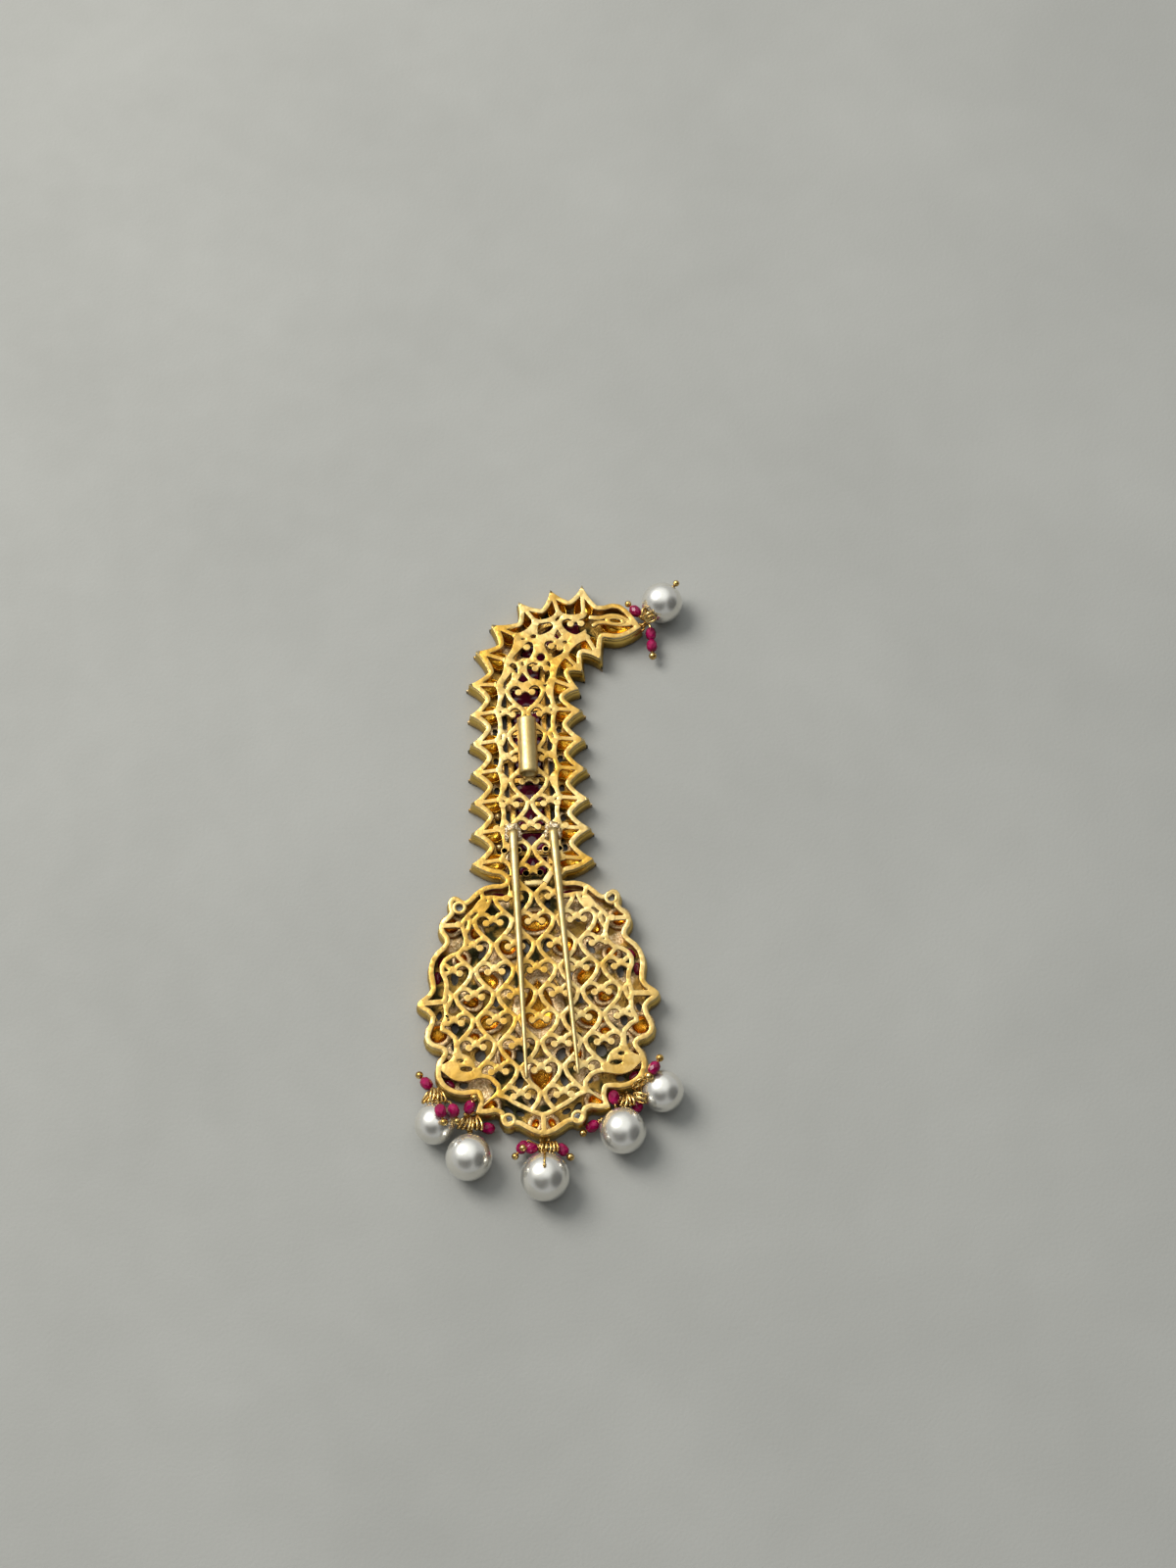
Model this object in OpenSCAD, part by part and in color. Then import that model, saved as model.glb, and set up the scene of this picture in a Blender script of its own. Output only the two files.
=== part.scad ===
/* [Metal] */
// Depth of the metal from its front to the pierced back
depth = 5; // [4.6:0.1:6]
// Thickness of the pierced back sheet
sheet_t = 0.8; // [0.6:0.1:1]
// Thickness of the front plate
plate_t = 1.6; // [1.5:0.1:1.9]
// Thickness of the outer wall
wall_t = 0.75; // [0.6:0.05:0.9]
// Width of the rim that shows on the back
rim_w = 1; // [0.9:0.05:1.2]
// Width of a strand of the pierced sheet
strand_w = 0.86; // [0.7:0.02:1]
// How far the front plate stands out past the rim
flare = 0.3; // [0.1:0.05:0.5]
// Height of the rails beside the row of stones
rail_h = 2.7; // [2.2:0.1:3]

/* [Pierced pattern] */
// Distance between the hearts across
heart_dx = 8.7; // [8.4:0.1:9]
// Distance between the hearts on the base, up and down
base_heart_dy = 10.55; // [10.3:0.05:10.8]
// Distance between the hearts on the stem, up and down
stem_heart_dy = 10.3; // [10.1:0.05:10.5]
// Height of the crossing of the heart nearest the neck
heart_y0 = 3.2; // [2.8:0.1:3.6]
// Radius of a scroll's end ball
ball_r = 0.55; // [0.45:0.01:0.6]
// Width of the finest gap that is pierced
finest_gap = 0.2; // [0.1:0.02:0.3]

/* [Leaves] */
// Distance between the leaves up the stem
leaf_dy = 6.75; // [6.6:0.05:6.9]
// Height of the lowest leaf's tip
leaf_y0 = 5.2; // [5:0.1:5.4]
// Reach of the lowest leaf from the stem's middle
leaf_reach = 12.85; // [12.4:0.05:13.2]
// How much nearer the middle each leaf's tip lies than the one below
leaf_taper = 0.13; // [0.1:0.01:0.16]
// Reach of the notches between the leaves
notch_reach = 8.75; // [8.5:0.05:9]
// How far a leaf's edge bows outwards
leaf_bow = 0.35; // [0.2:0.05:0.5]

/* [Fittings] */
// Outer radius of the plume socket
socket_r = 2.05; // [1.9:0.05:2.2]
// Radius of the plume socket's bore
socket_bore_r = 1.6; // [1.4:0.05:1.7]
// Length of the plume socket
socket_len = 12.6; // [12:0.1:13]
// Radius of a turban pin at its root
pin_root_r = 1; // [0.9:0.05:1.1]
// Radius of a turban pin at its end
pin_end_r = 0.38; // [0.3:0.02:0.5]
// Radius of the wire of the drops
wire_r = 0.27; // [0.22:0.01:0.3]

/* [Stones] */
// Length of a stem stone, across the stem
stem_stone_w = 6.3; // [6:0.1:6.4]
// Width of a stem stone, along the stem
stem_stone_h = 4.1; // [3.9:0.1:4.3]
// Distance between the stem stones
stem_stone_dy = 5.5; // [5.4:0.05:5.6]
// Clearance between a stone and its seat
stone_gap = 0.1; // [0.06:0.01:0.15]
// Radius of a ruby bead
ruby_r = 1.2; // [1.1:0.05:1.3]
// Half the length of a ruby bead along its hole
ruby_half = 1.4; // [1.2:0.05:1.5]
// Radius of the hole through beads and pearls
drill_r = 0.4; // [0.36:0.02:0.5]

/* [Hidden] */
DROPS = 6;
RUBIES = 15;
STEM_STONES = 12;
$fn = 32;
leaf_rows = 6;
// The ornament is drawn about the stem's middle line, and moved so that its box is centred on the origin
shift = [-4.55, -1.6, 0];
// Heights at which the piercing of the sheet is divided, so that each band has few holes
BANDS = [-54, -43.5, -35, -25.5, -16, -6, 3, 11, 19, 27, 35, 43, 52, 70];

// A point on the cubic through two points with given tangents
function hermite(p0, t0, p1, t1, u) =
  (2*u*u*u - 3*u*u + 1)*p0 + (u*u*u - 2*u*u + u)*t0 + (3*u*u - 2*u*u*u)*p1 + (u*u*u - u*u)*t1;

function xy(row) = [row[0], row[1]];
function is_corner(row) = len(row) > 2 && row[2] == 1;

// The smooth closed line through rows of [x, y, corner]; a 1 in the last column keeps a corner
function smooth(rows, step = 1.3) = let(n = len(rows)) [
  for (i = [0 : n - 1])
    let (a = rows[(i + n - 1) % n], b = rows[i], c = rows[(i + 1) % n], d = rows[(i + 2) % n],
         tb = is_corner(b) ? xy(c) - xy(b) : (xy(c) - xy(a))/2,
         tc = is_corner(c) ? xy(c) - xy(b) : (xy(d) - xy(b))/2,
         k = max(1, round(norm(xy(c) - xy(b))/step)))
      for (j = [0 : k - 1]) hermite(xy(b), tb, xy(c), tc, j/k)];

// The open version of the same line
function smooth_open(rows, step = 1.3) = let(n = len(rows)) concat([
  for (i = [0 : n - 2])
    let (a = rows[max(i - 1, 0)], b = rows[i], c = rows[i + 1], d = rows[min(i + 2, n - 1)],
         tb = (is_corner(b) || i == 0) ? xy(c) - xy(b) : (xy(c) - xy(a))/2,
         tc = (is_corner(c) || i == n - 2) ? xy(c) - xy(b) : (xy(d) - xy(b))/2,
         k = max(1, round(norm(xy(c) - xy(b))/step)))
      for (j = [0 : k - 1]) hermite(xy(b), tb, xy(c), tc, j/k)], [xy(rows[n - 1])]);

// Points on the arc from a to b that bows by h to its left
function bow(a, b, h, k = 4) = let(d = b - a, n = [-d[1], d[0]]/norm(d)) [
  for (j = [0 : k]) let(u = j/k) a + u*d + 4*h*u*(1 - u)*n];

// The normal of an open line at one of its points
function side(p, i) = let(n = len(p), d = p[min(i + 1, n - 1)] - p[max(i - 1, 0)]) [-d[1], d[0]]/norm(d);
function beside(p, w) = [for (i = [0 : len(p) - 1]) p[i] + side(p, i)*w];
function reversed(p) = [for (i = [len(p) - 1 : -1 : 0]) p[i]];
function mirror_x(p) = [for (r = reversed(p)) [-r[0], r[1], r[2]]];

// A strand of width w along an open line of points
module strand(p, w = strand_w) {
  polygon(concat(beside(p, w/2), reversed(beside(p, -w/2))));
}

// Outline of the base, right half, from the neck down: [x, y, corner]
BASE_EDGE = [
  [5.6, 1.7, 0], [5.9, 0.9, 0], [6.8, 0.55, 0], [8.5, 0.6, 0], [10.1, 0.3, 0], [11.4, -0.35, 0],
  [12.6, -1.3, 0], [13.6, -2.35, 0], [14.4, -2.85, 0], [15.1, -2.5, 0], [15.8, -1.9, 0], [16.5, -1.65, 0],
  [17.4, -1.95, 0], [17.95, -2.9, 0], [17.85, -4, 0], [17.6, -5.1, 0], [18.2, -5.8, 0], [19.2, -6.6, 0],
  [19.85, -7.7, 0], [20, -8.7, 0], [19.7, -9.8, 0], [18.95, -10.8, 0], [18.75, -11.6, 0], [19.4, -12.4, 0],
  [20.8, -13.6, 0], [21.8, -15.1, 0], [22.3, -16.8, 0], [22.35, -18.4, 0], [22.05, -20, 0], [21.95, -21.5, 0],
  [22.7, -22.6, 0], [24, -23.55, 0], [24.8, -24.3, 0], [24.8, -25.1, 0], [24.1, -25.8, 0], [22.9, -26.5, 0],
  [22.15, -27.4, 0], [22.4, -28.7, 0], [23.1, -30.2, 0], [23.5, -31.6, 0], [23.1, -33, 0], [21.9, -33.95, 0],
  [20.3, -34.4, 0], [19.7, -35, 0], [20.2, -35.8, 0], [21, -36.9, 0], [21.45, -38.5, 0], [21.3, -40.4, 0],
  [20.4, -42.1, 0], [18.7, -43.4, 0], [16.6, -44.1, 0], [14.6, -44, 0], [13.1, -43.9, 1], [12.85, -45.4, 0],
  [13.6, -47.8, 1], [11.6, -48.2, 0], [9.8, -47.9, 0], [8.75, -48.3, 0], [8.5, -49.7, 0], [7.9, -50.8, 0],
  [6.9, -51.1, 0], [5.9, -50.6, 0], [4.9, -50.8, 0], [3.5, -51.7, 0], [2.1, -52.5, 0], [0.9, -52.95, 0]];

// Outline of the pierced sheet of the base, right half, from the neck down: [x, y, corner]
SHEET_EDGE = [
  [5.2, 2.4, 1], [5.2, -1.2, 0], [5.7, -2.2, 0], [7, -2.2, 0], [8.7, -1.85, 0], [10.3, -1.95, 0],
  [11.6, -2.9, 0], [12.7, -4.5, 0], [14, -5.7, 0], [15.3, -7.1, 0], [15.7, -8.2, 0], [15.2, -9.6, 0],
  [14.85, -11, 0], [15.1, -12.5, 0], [16.2, -13.7, 0], [17.8, -14.2, 0], [19.2, -15.2, 0], [20, -16.6, 0],
  [20, -18.2, 0], [19.3, -19.7, 0], [19.1, -21.2, 0], [19.4, -22.8, 0], [19.7, -24.3, 0], [19.4, -25.8, 0],
  [19.4, -27.6, 0], [20.2, -29.3, 0], [20.3, -30.5, 0], [19, -31, 0], [17.7, -32.3, 0], [17.5, -34.2, 0],
  [18, -36.2, 0], [19.6, -37.4, 0], [21, -37.6, 1], [21, -38.4, 1], [20, -39, 0], [18.2, -40.6, 0],
  [15.6, -41.2, 0], [12.6, -40.6, 0], [10.4, -41.2, 0], [9.2, -42.6, 0], [9.2, -43.6, 0], [10.5, -44.9, 0],
  [13, -47.2, 1], [11.4, -46, 0], [9.2, -44.7, 0], [7.4, -45.3, 0], [6, -46.4, 0], [3.4, -47.8, 0],
  [1.4, -48.9, 0], [0.4, -49.2, 0]];

// Holes of the pierced sheet in the corner of each lower lobe: [x, y, radius across, radius up, turn]
CORNER_HOLES = [[16.4, -36.9, 0.75, 0.45, 0], [15.2, -38.7, 1.35, 0.6, 5], [19.7, -38.5, 0.5, 0.35, 0]];

// Leaf tips round the bend, from the straight stem's last left leaf over the top: [x, y]
BEND_TIPS = [[-12.2, 46.2], [-10.4, 54], [-6.8, 60.2], [-0.7, 65.4], [6.4, 68], [13.4, 68.8]];
// The notch after each of them: [x, y]
BEND_NOTCHES = [[-7.6, 49], [-5.2, 55.4], [-0.9, 60.4], [4.3, 63.4], [10.4, 65.1], [16.5, 63.6]];
// The far end of each one's rib: [x, y]
BEND_ROOTS = [[-6, 45.9], [-3.9, 51.6], [-1.5, 57.3], [2.8, 60.5], [8, 62.2], [13.4, 61.7]];
// The tip leaf, from the notch over the top round to the inner side: [x, y, corner]
TIP_LEAF = [[16.5, 63.6, 1], [18, 63.6, 0], [19.6, 64, 0], [21.4, 63.7, 0], [23, 62.3, 0], [24.4, 60.3, 0],
  [25.8, 58, 1], [24.2, 56.9, 0], [22, 55.9, 0], [19.8, 55.6, 0], [17.3, 56.1, 1]];
// The two strands along the tip leaf: [x, y, corner]
TIP_RIB = [[25.3, 58.2, 0], [22.7, 59.8, 0], [20.9, 60.9, 0], [18.9, 61.1, 0], [16.9, 60.6, 0], [14.6, 60.9, 0]];
TIP_RIB_LOW = [[23.6, 58.9, 0], [21.6, 58.8, 0], [19.7, 59.1, 0], [18.2, 59.6, 0], [16.5, 59.6, 0], [15.2, 58.8, 0]];
// Leaf tips on the inner side of the bend, going down: [x, y]
INNER_TIPS = [[16.7, 50.5], [12.7, 47.8], [11.6, 44]];
// The notch after each of them: [x, y]
INNER_NOTCHES = [[12.6, 52.5], [9.4, 48.2], [8.1, 42.2]];
// The far end of each one's rib: [x, y]
INNER_ROOTS = [[13.9, 56.1], [9, 52.1], [6.2, 46.4]];

// Round and oval holes of the sheet in the bend: [x, y, radius across, radius up, turn]
BEND_OVALS = [[-0.3, 50.5, 0.35, 0.45, 20], [5.3, 50.1, 0.5, 0.75, 10], [3.7, 51.9, 1, 1, 0],
  [2.3, 56.9, 0.7, 0.5, 0], [9.1, 55.2, 0.55, 0.4, 0], [7.8, 61.1, 0.4, 0.95, -35], [11.6, 61.3, 0.3, 0.3, 0],
  [0, 56.4, 0.5, 0.25, 0], [20.4, 60, 0.55, 0.3, 0]];
// The other holes there, each a smooth closed line of [x, y, corner]
BEND_HOLES = [
  [[-2.7, 48.6, 0], [-3.6, 47.6, 0], [-4.7, 46.1, 0], [-4.5, 45, 0], [-3.7, 46, 0], [-2.9, 46.9, 0]],
  [[-3.3, 50.2, 0], [-2.6, 50.9, 0], [-1.7, 50.5, 0], [-1.3, 49.4, 0], [-1.6, 48.1, 0], [-2.3, 49.2, 0]],
  [[-0.4, 48.5, 1], [-1.6, 46.6, 1], [-0.4, 46, 1], [0.9, 46.6, 1]],
  [[0.5, 49, 0], [0.8, 50.3, 0], [1.8, 50.8, 0], [3.7, 50, 0], [5.3, 48.9, 0], [5.5, 47.4, 0],
    [4.5, 45.7, 1], [3.2, 46.4, 0], [1.3, 47.3, 0]],
  [[-2.4, 51.9, 0], [-1.1, 53.5, 0], [0.3, 55.1, 0], [1.2, 55.8, 0], [2.1, 55.3, 0], [2.2, 53.6, 0],
    [1.2, 51.8, 0], [-0.2, 51.9, 0], [-1.5, 51.1, 0]],
  [[3.3, 59.4, 0], [3.8, 60, 0], [6.1, 60.1, 0], [6.8, 59.3, 0], [6.2, 58.2, 0], [4.6, 57.4, 0], [3.3, 57.3, 0]],
  [[7.6, 58.4, 1], [6.7, 56.8, 1], [7.5, 55.9, 1], [8.5, 56.9, 1]],
  [[4.5, 54.8, 0], [4.9, 55.6, 0], [5.9, 55.8, 0], [7.6, 54.9, 0], [8.8, 53.4, 0], [8.4, 52.6, 0],
    [6.5, 51.6, 1], [5.3, 52.8, 0]],
  [[8.6, 59.3, 0], [8.9, 60.5, 0], [10, 60.8, 0], [11.6, 60.1, 0], [13.5, 60.8, 0], [14.6, 60.3, 0],
    [14.6, 59.1, 0], [13.4, 57.8, 0], [11.6, 56.8, 1], [9.9, 57.6, 0]],
  [[14.4, 57, 0], [14.6, 58.1, 0], [15.8, 58.8, 0], [16.9, 58.3, 0], [16.2, 57, 0], [15.4, 56.3, 0]]];
// The scrolls there: [ball x, ball y, root x, root y]
BEND_SCROLLS = [[2.4, 49.3, 3.7, 50.3], [4.8, 49.2, 3.7, 50.3], [0.8, 54.4, -0.6, 54.9], [6.1, 54.4, 7.2, 55.3],
  [7.9, 54, 7.2, 55.3], [10.5, 59.5, 11.6, 60.5], [12.8, 59.5, 11.6, 60.5]];

function left_tip(k) = [-(leaf_reach - leaf_taper*k), leaf_y0 + leaf_dy*k];
function left_notch(k) = [-notch_reach + 0.05*k, leaf_y0 + leaf_dy*(k + 0.55)];
function flip(p) = [-p[0], p[1]];
NECK_EDGE = [[-6.9, 2.65, 0], [-8.6, 2.95, 0], [-10.6, 3.8, 0]];

// The stem's outline, up the left side from the neck, over the top and down the right side
LEFT_SIDE = concat(smooth_open(concat([[-5.4, 0.6, 0], [-5.9, 1.7, 0]], NECK_EDGE)), [left_tip(0)],
  [for (k = [0 : leaf_rows - 1]) each concat(bow(left_tip(k), left_notch(k), -leaf_bow),
    bow(left_notch(k), k < leaf_rows - 1 ? left_tip(k + 1) : BEND_TIPS[0], -leaf_bow))]);
RIGHT_SIDE = [for (p = reversed(LEFT_SIDE)) if (p[1] < left_notch(leaf_rows - 2)[1] + 0.1) flip(p)];
STEM_EDGE = concat(LEFT_SIDE,
  [for (k = [0 : len(BEND_TIPS) - 1]) each concat(bow(BEND_TIPS[k], BEND_NOTCHES[k], -leaf_bow),
    k < len(BEND_TIPS) - 1 ? bow(BEND_NOTCHES[k], BEND_TIPS[k + 1], -leaf_bow) : [])],
  smooth_open(TIP_LEAF),
  [for (k = [0 : len(INNER_TIPS) - 1]) each concat(
    bow(k == 0 ? xy(TIP_LEAF[10]) : INNER_NOTCHES[k - 1], INNER_TIPS[k], -leaf_bow/2),
    bow(INNER_TIPS[k], INNER_NOTCHES[k], -leaf_bow))],
  bow(INNER_NOTCHES[2], flip(left_tip(leaf_rows - 1)), -leaf_bow),
  bow(flip(left_tip(leaf_rows - 1)), flip(left_notch(leaf_rows - 2)), -leaf_bow), RIGHT_SIDE);

module outline() {
  offset(r = -0.4, $fn = 8) offset(delta = 0.4) union() {
    polygon(concat(STEM_EDGE, [[6, -3], [-6, -3]]));
    polygon(smooth(concat(BASE_EDGE, mirror_x(BASE_EDGE))));
  }
}

module sheet_outline() {
  polygon(smooth(concat(SHEET_EDGE, mirror_x(SHEET_EDGE))));
}

module both_sides() {
  children();
  mirror([1, 0]) children();
}

module oval(row) {
  translate([row[0], row[1]]) rotate(row[4]) scale([row[2], row[3]]) circle(r = 1, $fn = 14);
}

// Half of one heart, from the crossing round the lobe to the point
LOBE = [for (a = [150 : -31 : -5]) [2.1 + 1.78*cos(a), -0.35 + 1.78*sin(a)]];
HEART_SIDE = concat([[0, 0.1]], LOBE, [
  for (j = [1 : 4]) let(u = j/4)
    pow(1 - u, 3)*LOBE[5] + 3*u*pow(1 - u, 2)*[3.75, -2.4] + 3*u*u*(1 - u)*[1, -4.2] + pow(u, 3)*[0, -5.5]]);

module heart() {
  for (s = [-1, 1]) {
    strand([for (p = HEART_SIDE) [s*p[0], p[1]]]);
    strand([[0, 0.1], [s*0.75, -0.3], [s*1.4, -0.55]], 0.8);
    translate([s*1.45, -0.58]) circle(r = ball_r, $fn = 10);
  }
  translate([0, 0.35]) circle(r = 0.75, $fn = 8);
}

module heart_field(dy, first, last) {
  for (c = [-5 : 5]) for (r = [first : last])
    translate([c*heart_dx/2, heart_y0 + (r + (c % 2 == 0 ? 0 : 0.5))*dy]) heart();
}

function root(k, s) = [s*6.35, leaf_y0 + leaf_dy*k + 0.7];

// The scalloped line inside the leaves, and the leaves' ribs
LEFT_ROOTS = concat([[-4.4, 2.2]], [for (k = [0 : leaf_rows - 1]) root(k, -1)], BEND_ROOTS);
RIGHT_ROOTS = concat([[4.4, 2.2]], [for (k = [0 : leaf_rows - 1]) root(k, 1)], reversed(INNER_ROOTS));
LEFT_TIPS = concat([for (k = [0 : leaf_rows - 1]) left_tip(k)], BEND_TIPS);
RIGHT_TIPS = concat([for (k = [0 : leaf_rows - 1]) flip(left_tip(k))], reversed(INNER_TIPS));
scallop = 0.75;

module leaf_lines(tips, roots, s) {
  for (i = [1 : len(roots) - 1]) {
    strand(bow(roots[i - 1], roots[i], s*scallop));
    strand([tips[i - 1], roots[i]], 0.78);
    translate(roots[i]) circle(r = 0.75, $fn = 8);
  }
}

module stem_core() {
  polygon(concat(
    [for (i = [1 : len(LEFT_ROOTS) - 1]) each bow(LEFT_ROOTS[i - 1], LEFT_ROOTS[i], -scallop)],
    [for (i = [len(RIGHT_ROOTS) - 1 : -1 : 1]) each bow(RIGHT_ROOTS[i], RIGHT_ROOTS[i - 1], -scallop)]));
}

// The sheet in the bend: a plate with its holes, and the scrolls that reach into them
module bend_sheet() {
  difference() {
    intersection() {
      stem_core();
      translate([-10, 45.4]) square([40, 20]);
    }
    for (row = BEND_OVALS) oval(row);
    for (hole = BEND_HOLES) polygon(smooth(hole, 0.8));
  }
  for (s = BEND_SCROLLS) {
    strand([[s[0], s[1]], [s[2], s[3]]], 0.7);
    translate([s[0], s[1]]) circle(r = 0.5, $fn = 12);
  }
}

module base_sheet() {
  difference() {
    intersection() {
      sheet_outline();
      union() {
        heart_field(base_heart_dy, -6, -1);
        translate([0, heart_y0]) heart();
        for (s = [-1, 1]) translate([s*16.7, -38.8]) circle(r = 3.4);
        for (s = [-1, 1]) translate([s*11.9, -3.6]) circle(r = 1.9);
      }
    }
    both_sides() for (row = CORNER_HOLES) oval(row);
  }
  difference() {
    sheet_outline();
    offset(delta = -strand_w) sheet_outline();
    translate([-5, -1.8]) square([10, 5]);
  }
}

// The short strands between the sheet and the rim: [x, y, x, y, width]
SPOKES = [[15.2, -8, 19.6, -8.05, 0.9], [19.2, -24.3, 24, -24.5, 1.05], [10.6, -2.4, 11.2, 0, 0.8],
  [0, -48.8, 0, -52.6, 0.9]];

module spokes() {
  both_sides() for (s = SPOKES) strand([[s[0], s[1]], [s[2], s[3]]], s[4]);
}

module strands_2d() {
  leaf_lines(LEFT_TIPS, LEFT_ROOTS, -1);
  leaf_lines(RIGHT_TIPS, RIGHT_ROOTS, 1);
  strand(smooth_open(TIP_RIB), 0.85);
  strand(smooth_open(TIP_RIB_LOW), 0.75);
  base_sheet();
  spokes();
  bend_sheet();
  intersection() {
    heart_field(stem_heart_dy, 0, 4);
    stem_core();
    translate([-10, 2]) square([20, 44.6]);
  }
}

// The holes of the sheet, without gaps too fine to pierce
module holes_2d() {
  offset(delta = finest_gap/2) offset(delta = -finest_gap/2) difference() {
    offset(delta = -rim_w) outline();
    strands_2d();
  }
}

// The part of the holes between two heights. The empty offset keeps the ends of neighbouring bands alike
module holes_band(low, high) {
  offset(delta = 0) intersection() {
    translate([-40, low]) square([80, high - low]);
    holes_2d();
  }
}

module pierced_sheet() {
  translate([0, 0, depth - sheet_t]) difference() {
    linear_extrude(sheet_t) outline();
    for (i = [1 : len(BANDS) - 1])
      translate([0, 0, -1]) linear_extrude(sheet_t + 2) holes_band(BANDS[i - 1], BANDS[i]);
  }
}

// Seats of the front plate: [x, y, half width, half length, turn, 1 for a pear]
CENTRE_SEAT = [[0, -25.1, 3.9, 6.4, 0, 1]];
BASE_SEATS = [[0, -7.2, 3.2, 2.2, 0, 0], [5.9, -12.3, 1.9, 1.9, 0, 0], [10.5, -19.3, 1.8, 2.7, -55, 1],
  [10.9, -28.6, 1.9, 2.9, -115, 1], [7.3, -35.9, 1.3, 1.7, -160, 1], [13.4, -31.6, 1.1, 1.1, 0, 0],
  [14, -24, 1.3, 1.7, -90, 1], [0, -40.3, 2.5, 3.1, 180, 1], [17.5, -7.3, 1.6, 1.6, 0, 0],
  [20.8, -30.4, 1.9, 1.9, 0, 0], [19.3, -37.3, 1.3, 1.5, 0, 0], [10.8, -46, 1.2, 1.6, -110, 1],
  [1.7, -50.1, 0.7, 1.1, 20, 0], [12.5, -9.2, 1.1, 1.3, 0, 0], [15.6, -14.8, 1.1, 1.3, 30, 0]];
CLEAR_SEATS = [[16.3, -3.3, 0.85, 0.85, 0, 0], [15.1, -5.8, 0.8, 0.8, 0, 0], [21.7, -23.6, 0.9, 0.9, 0, 0],
  [7, -49.5, 0.8, 0.8, 0, 0], [13, -40.6, 1, 1, 0, 0]];
RED_SEATS = [[8.3, -1.45, 1, 2.7, -94, 0], [19.6, -14.9, 0.75, 1.3, 42, 0], [20.7, -18.3, 0.75, 1.4, 0, 0],
  [18.9, -40.9, 0.9, 1.3, 125, 0]];
// Gaps round the bend, in the same form
BEND_GAPS = [[-4.3, 48.4, 0.5, 1.6, -12, 0], [5.2, 51.2, 0.5, 1.3, -20, 0], [7.9, 53.9, 0.5, 1.2, -45, 0],
  [-2.2, 53.6, 0.5, 1.3, -25, 0], [1, 59.4, 0.5, 1.2, -45, 0], [14.6, 57.4, 0.7, 0.9, 0, 0]];
GAPS = [[6.6, -18.4, 1.2, 2.2, 15, 0], [2.3, -12.2, 0.9, 1.7, -20, 0], [8.8, -23.9, 0.8, 1.2, 0, 0],
  [8.1, -32.1, 0.55, 1, 20, 0], [4.2, -35.6, 1.1, 1.5, -35, 0], [12.4, -35.2, 1.2, 1.4, 0, 0],
  [17.5, -29.2, 0.9, 1.3, 20, 0], [17.4, -33.4, 0.8, 1.3, -30, 0], [17.2, -18.4, 0.8, 1.7, 0, 0],
  [11.3, -13.2, 0.7, 1.5, 30, 0], [9.2, -6.5, 1.1, 1, 0, 0], [5.3, -6.2, 0.7, 1.1, 30, 0],
  [2.7, -3.3, 0.7, 1, 0, 0], [4.6, -41.3, 0.8, 1.5, 20, 0], [2.2, -45.2, 0.7, 0.9, -30, 0],
  [4.7, -47.6, 1, 0.6, 25, 0], [16, -41.2, 1, 0.8, 0, 0], [20.6, -26.4, 0.6, 1, 15, 0],
  [7, -46.8, 0.6, 1.2, -40, 0], [9.6, -41, 0.8, 1.1, 20, 0]];

function leaf_seat(tip, root, u, w, l) =
  let(c = root + u*(tip - root), d = tip - root) [c[0], c[1], w, l, atan2(d[1], d[0]) - 90, 1];
LEAF_SEATS = concat(
  [for (i = [0 : len(LEFT_TIPS) - 1])
    leaf_seat(LEFT_TIPS[i], LEFT_ROOTS[i + 1], i < 7 ? 0.27 : 0.37, 1.7, i < 7 ? 2.15 : 1.9)],
  [for (i = [0 : len(RIGHT_TIPS) - 1])
    leaf_seat(RIGHT_TIPS[i], RIGHT_ROOTS[i + 1], 0.3, 1.6, i < 6 ? 2.1 : 1.8)],
  [leaf_seat([25.8, 58], [17.2, 60.3], 0.4, 2, 3.1)]);

function is_paired(row) = abs(row[0]) > 0.01;
function mirrored(row) = [-row[0], row[1], row[2], row[3], -row[4], row[5]];
function paired(rows) = concat(rows, [for (r = rows) if (is_paired(r)) mirrored(r)]);

// The stem's stones follow its middle line round the bend: [x, y, turn, half length, half width]
STEM_LINE = concat([for (k = [0 : 7]) [0, stem_stone_dy*k + 5.3, 0, stem_stone_w/2, stem_stone_h/2]],
  [[0.4, 49.1, -8, 3, 1.8], [2.3, 54.1, -28, 2.8, 1.75], [6, 57.8, -56, 2.2, 1.75], [10.9, 58.9, -82, 2.2, 1.75]]);

// A pear or an oval about the origin, its point up, as n points
function gem_line(w, l, pear, n = 10) = [
  for (i = [0 : n - 1]) let(t = 360*(i + 0.5*(1 - pear))/n)
    [w*sin(t)*(pear == 1 ? pow(sin(t/2), 0.7)*1.12 : 1), l*cos(t)]];
function oblong(w, h, c) = [
  [w, h - c], [w - c, h], [c - w, h], [-w, h - c], [-w, c - h], [c - w, -h], [w - c, -h], [w, c - h]];

module place(row) {
  translate([row[0], row[1]]) rotate(row[4]) children();
}

module gems_2d(rows, grow) {
  for (row = rows) place(row) offset(delta = grow) polygon(gem_line(row[2], row[3], row[5]));
}

module windows_2d(grow) {
  for (s = STEM_LINE) translate([s[0], s[1]]) rotate(s[2]) square(2*[s[3] + grow, s[4] + grow], true);
  gems_2d(paired(RED_SEATS), grow);
}

CLOSED_SEATS = concat(CENTRE_SEAT, paired(BASE_SEATS), paired(CLEAR_SEATS), LEAF_SEATS);

// Gaps right through the plate, kept clear of the wall
module gaps_2d() {
  intersection() {
    offset(delta = -wall_t - 0.5) outline();
    union() {
      gems_2d(paired(GAPS), 0);
      for (k = [0 : 7], s = [-1, 1]) translate([s*4.85, stem_stone_dy*k + 5.3]) square([0.9, 3.2], true);
      gems_2d(BEND_GAPS, 0);
      for (k = [0 : leaf_rows - 2], s = [-1, 1])
        translate([s*6.95, leaf_y0 + leaf_dy*(k + 0.58)]) scale([1, 1.25]) circle(r = 0.72, $fn = 6);
    }
  }
}

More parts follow.
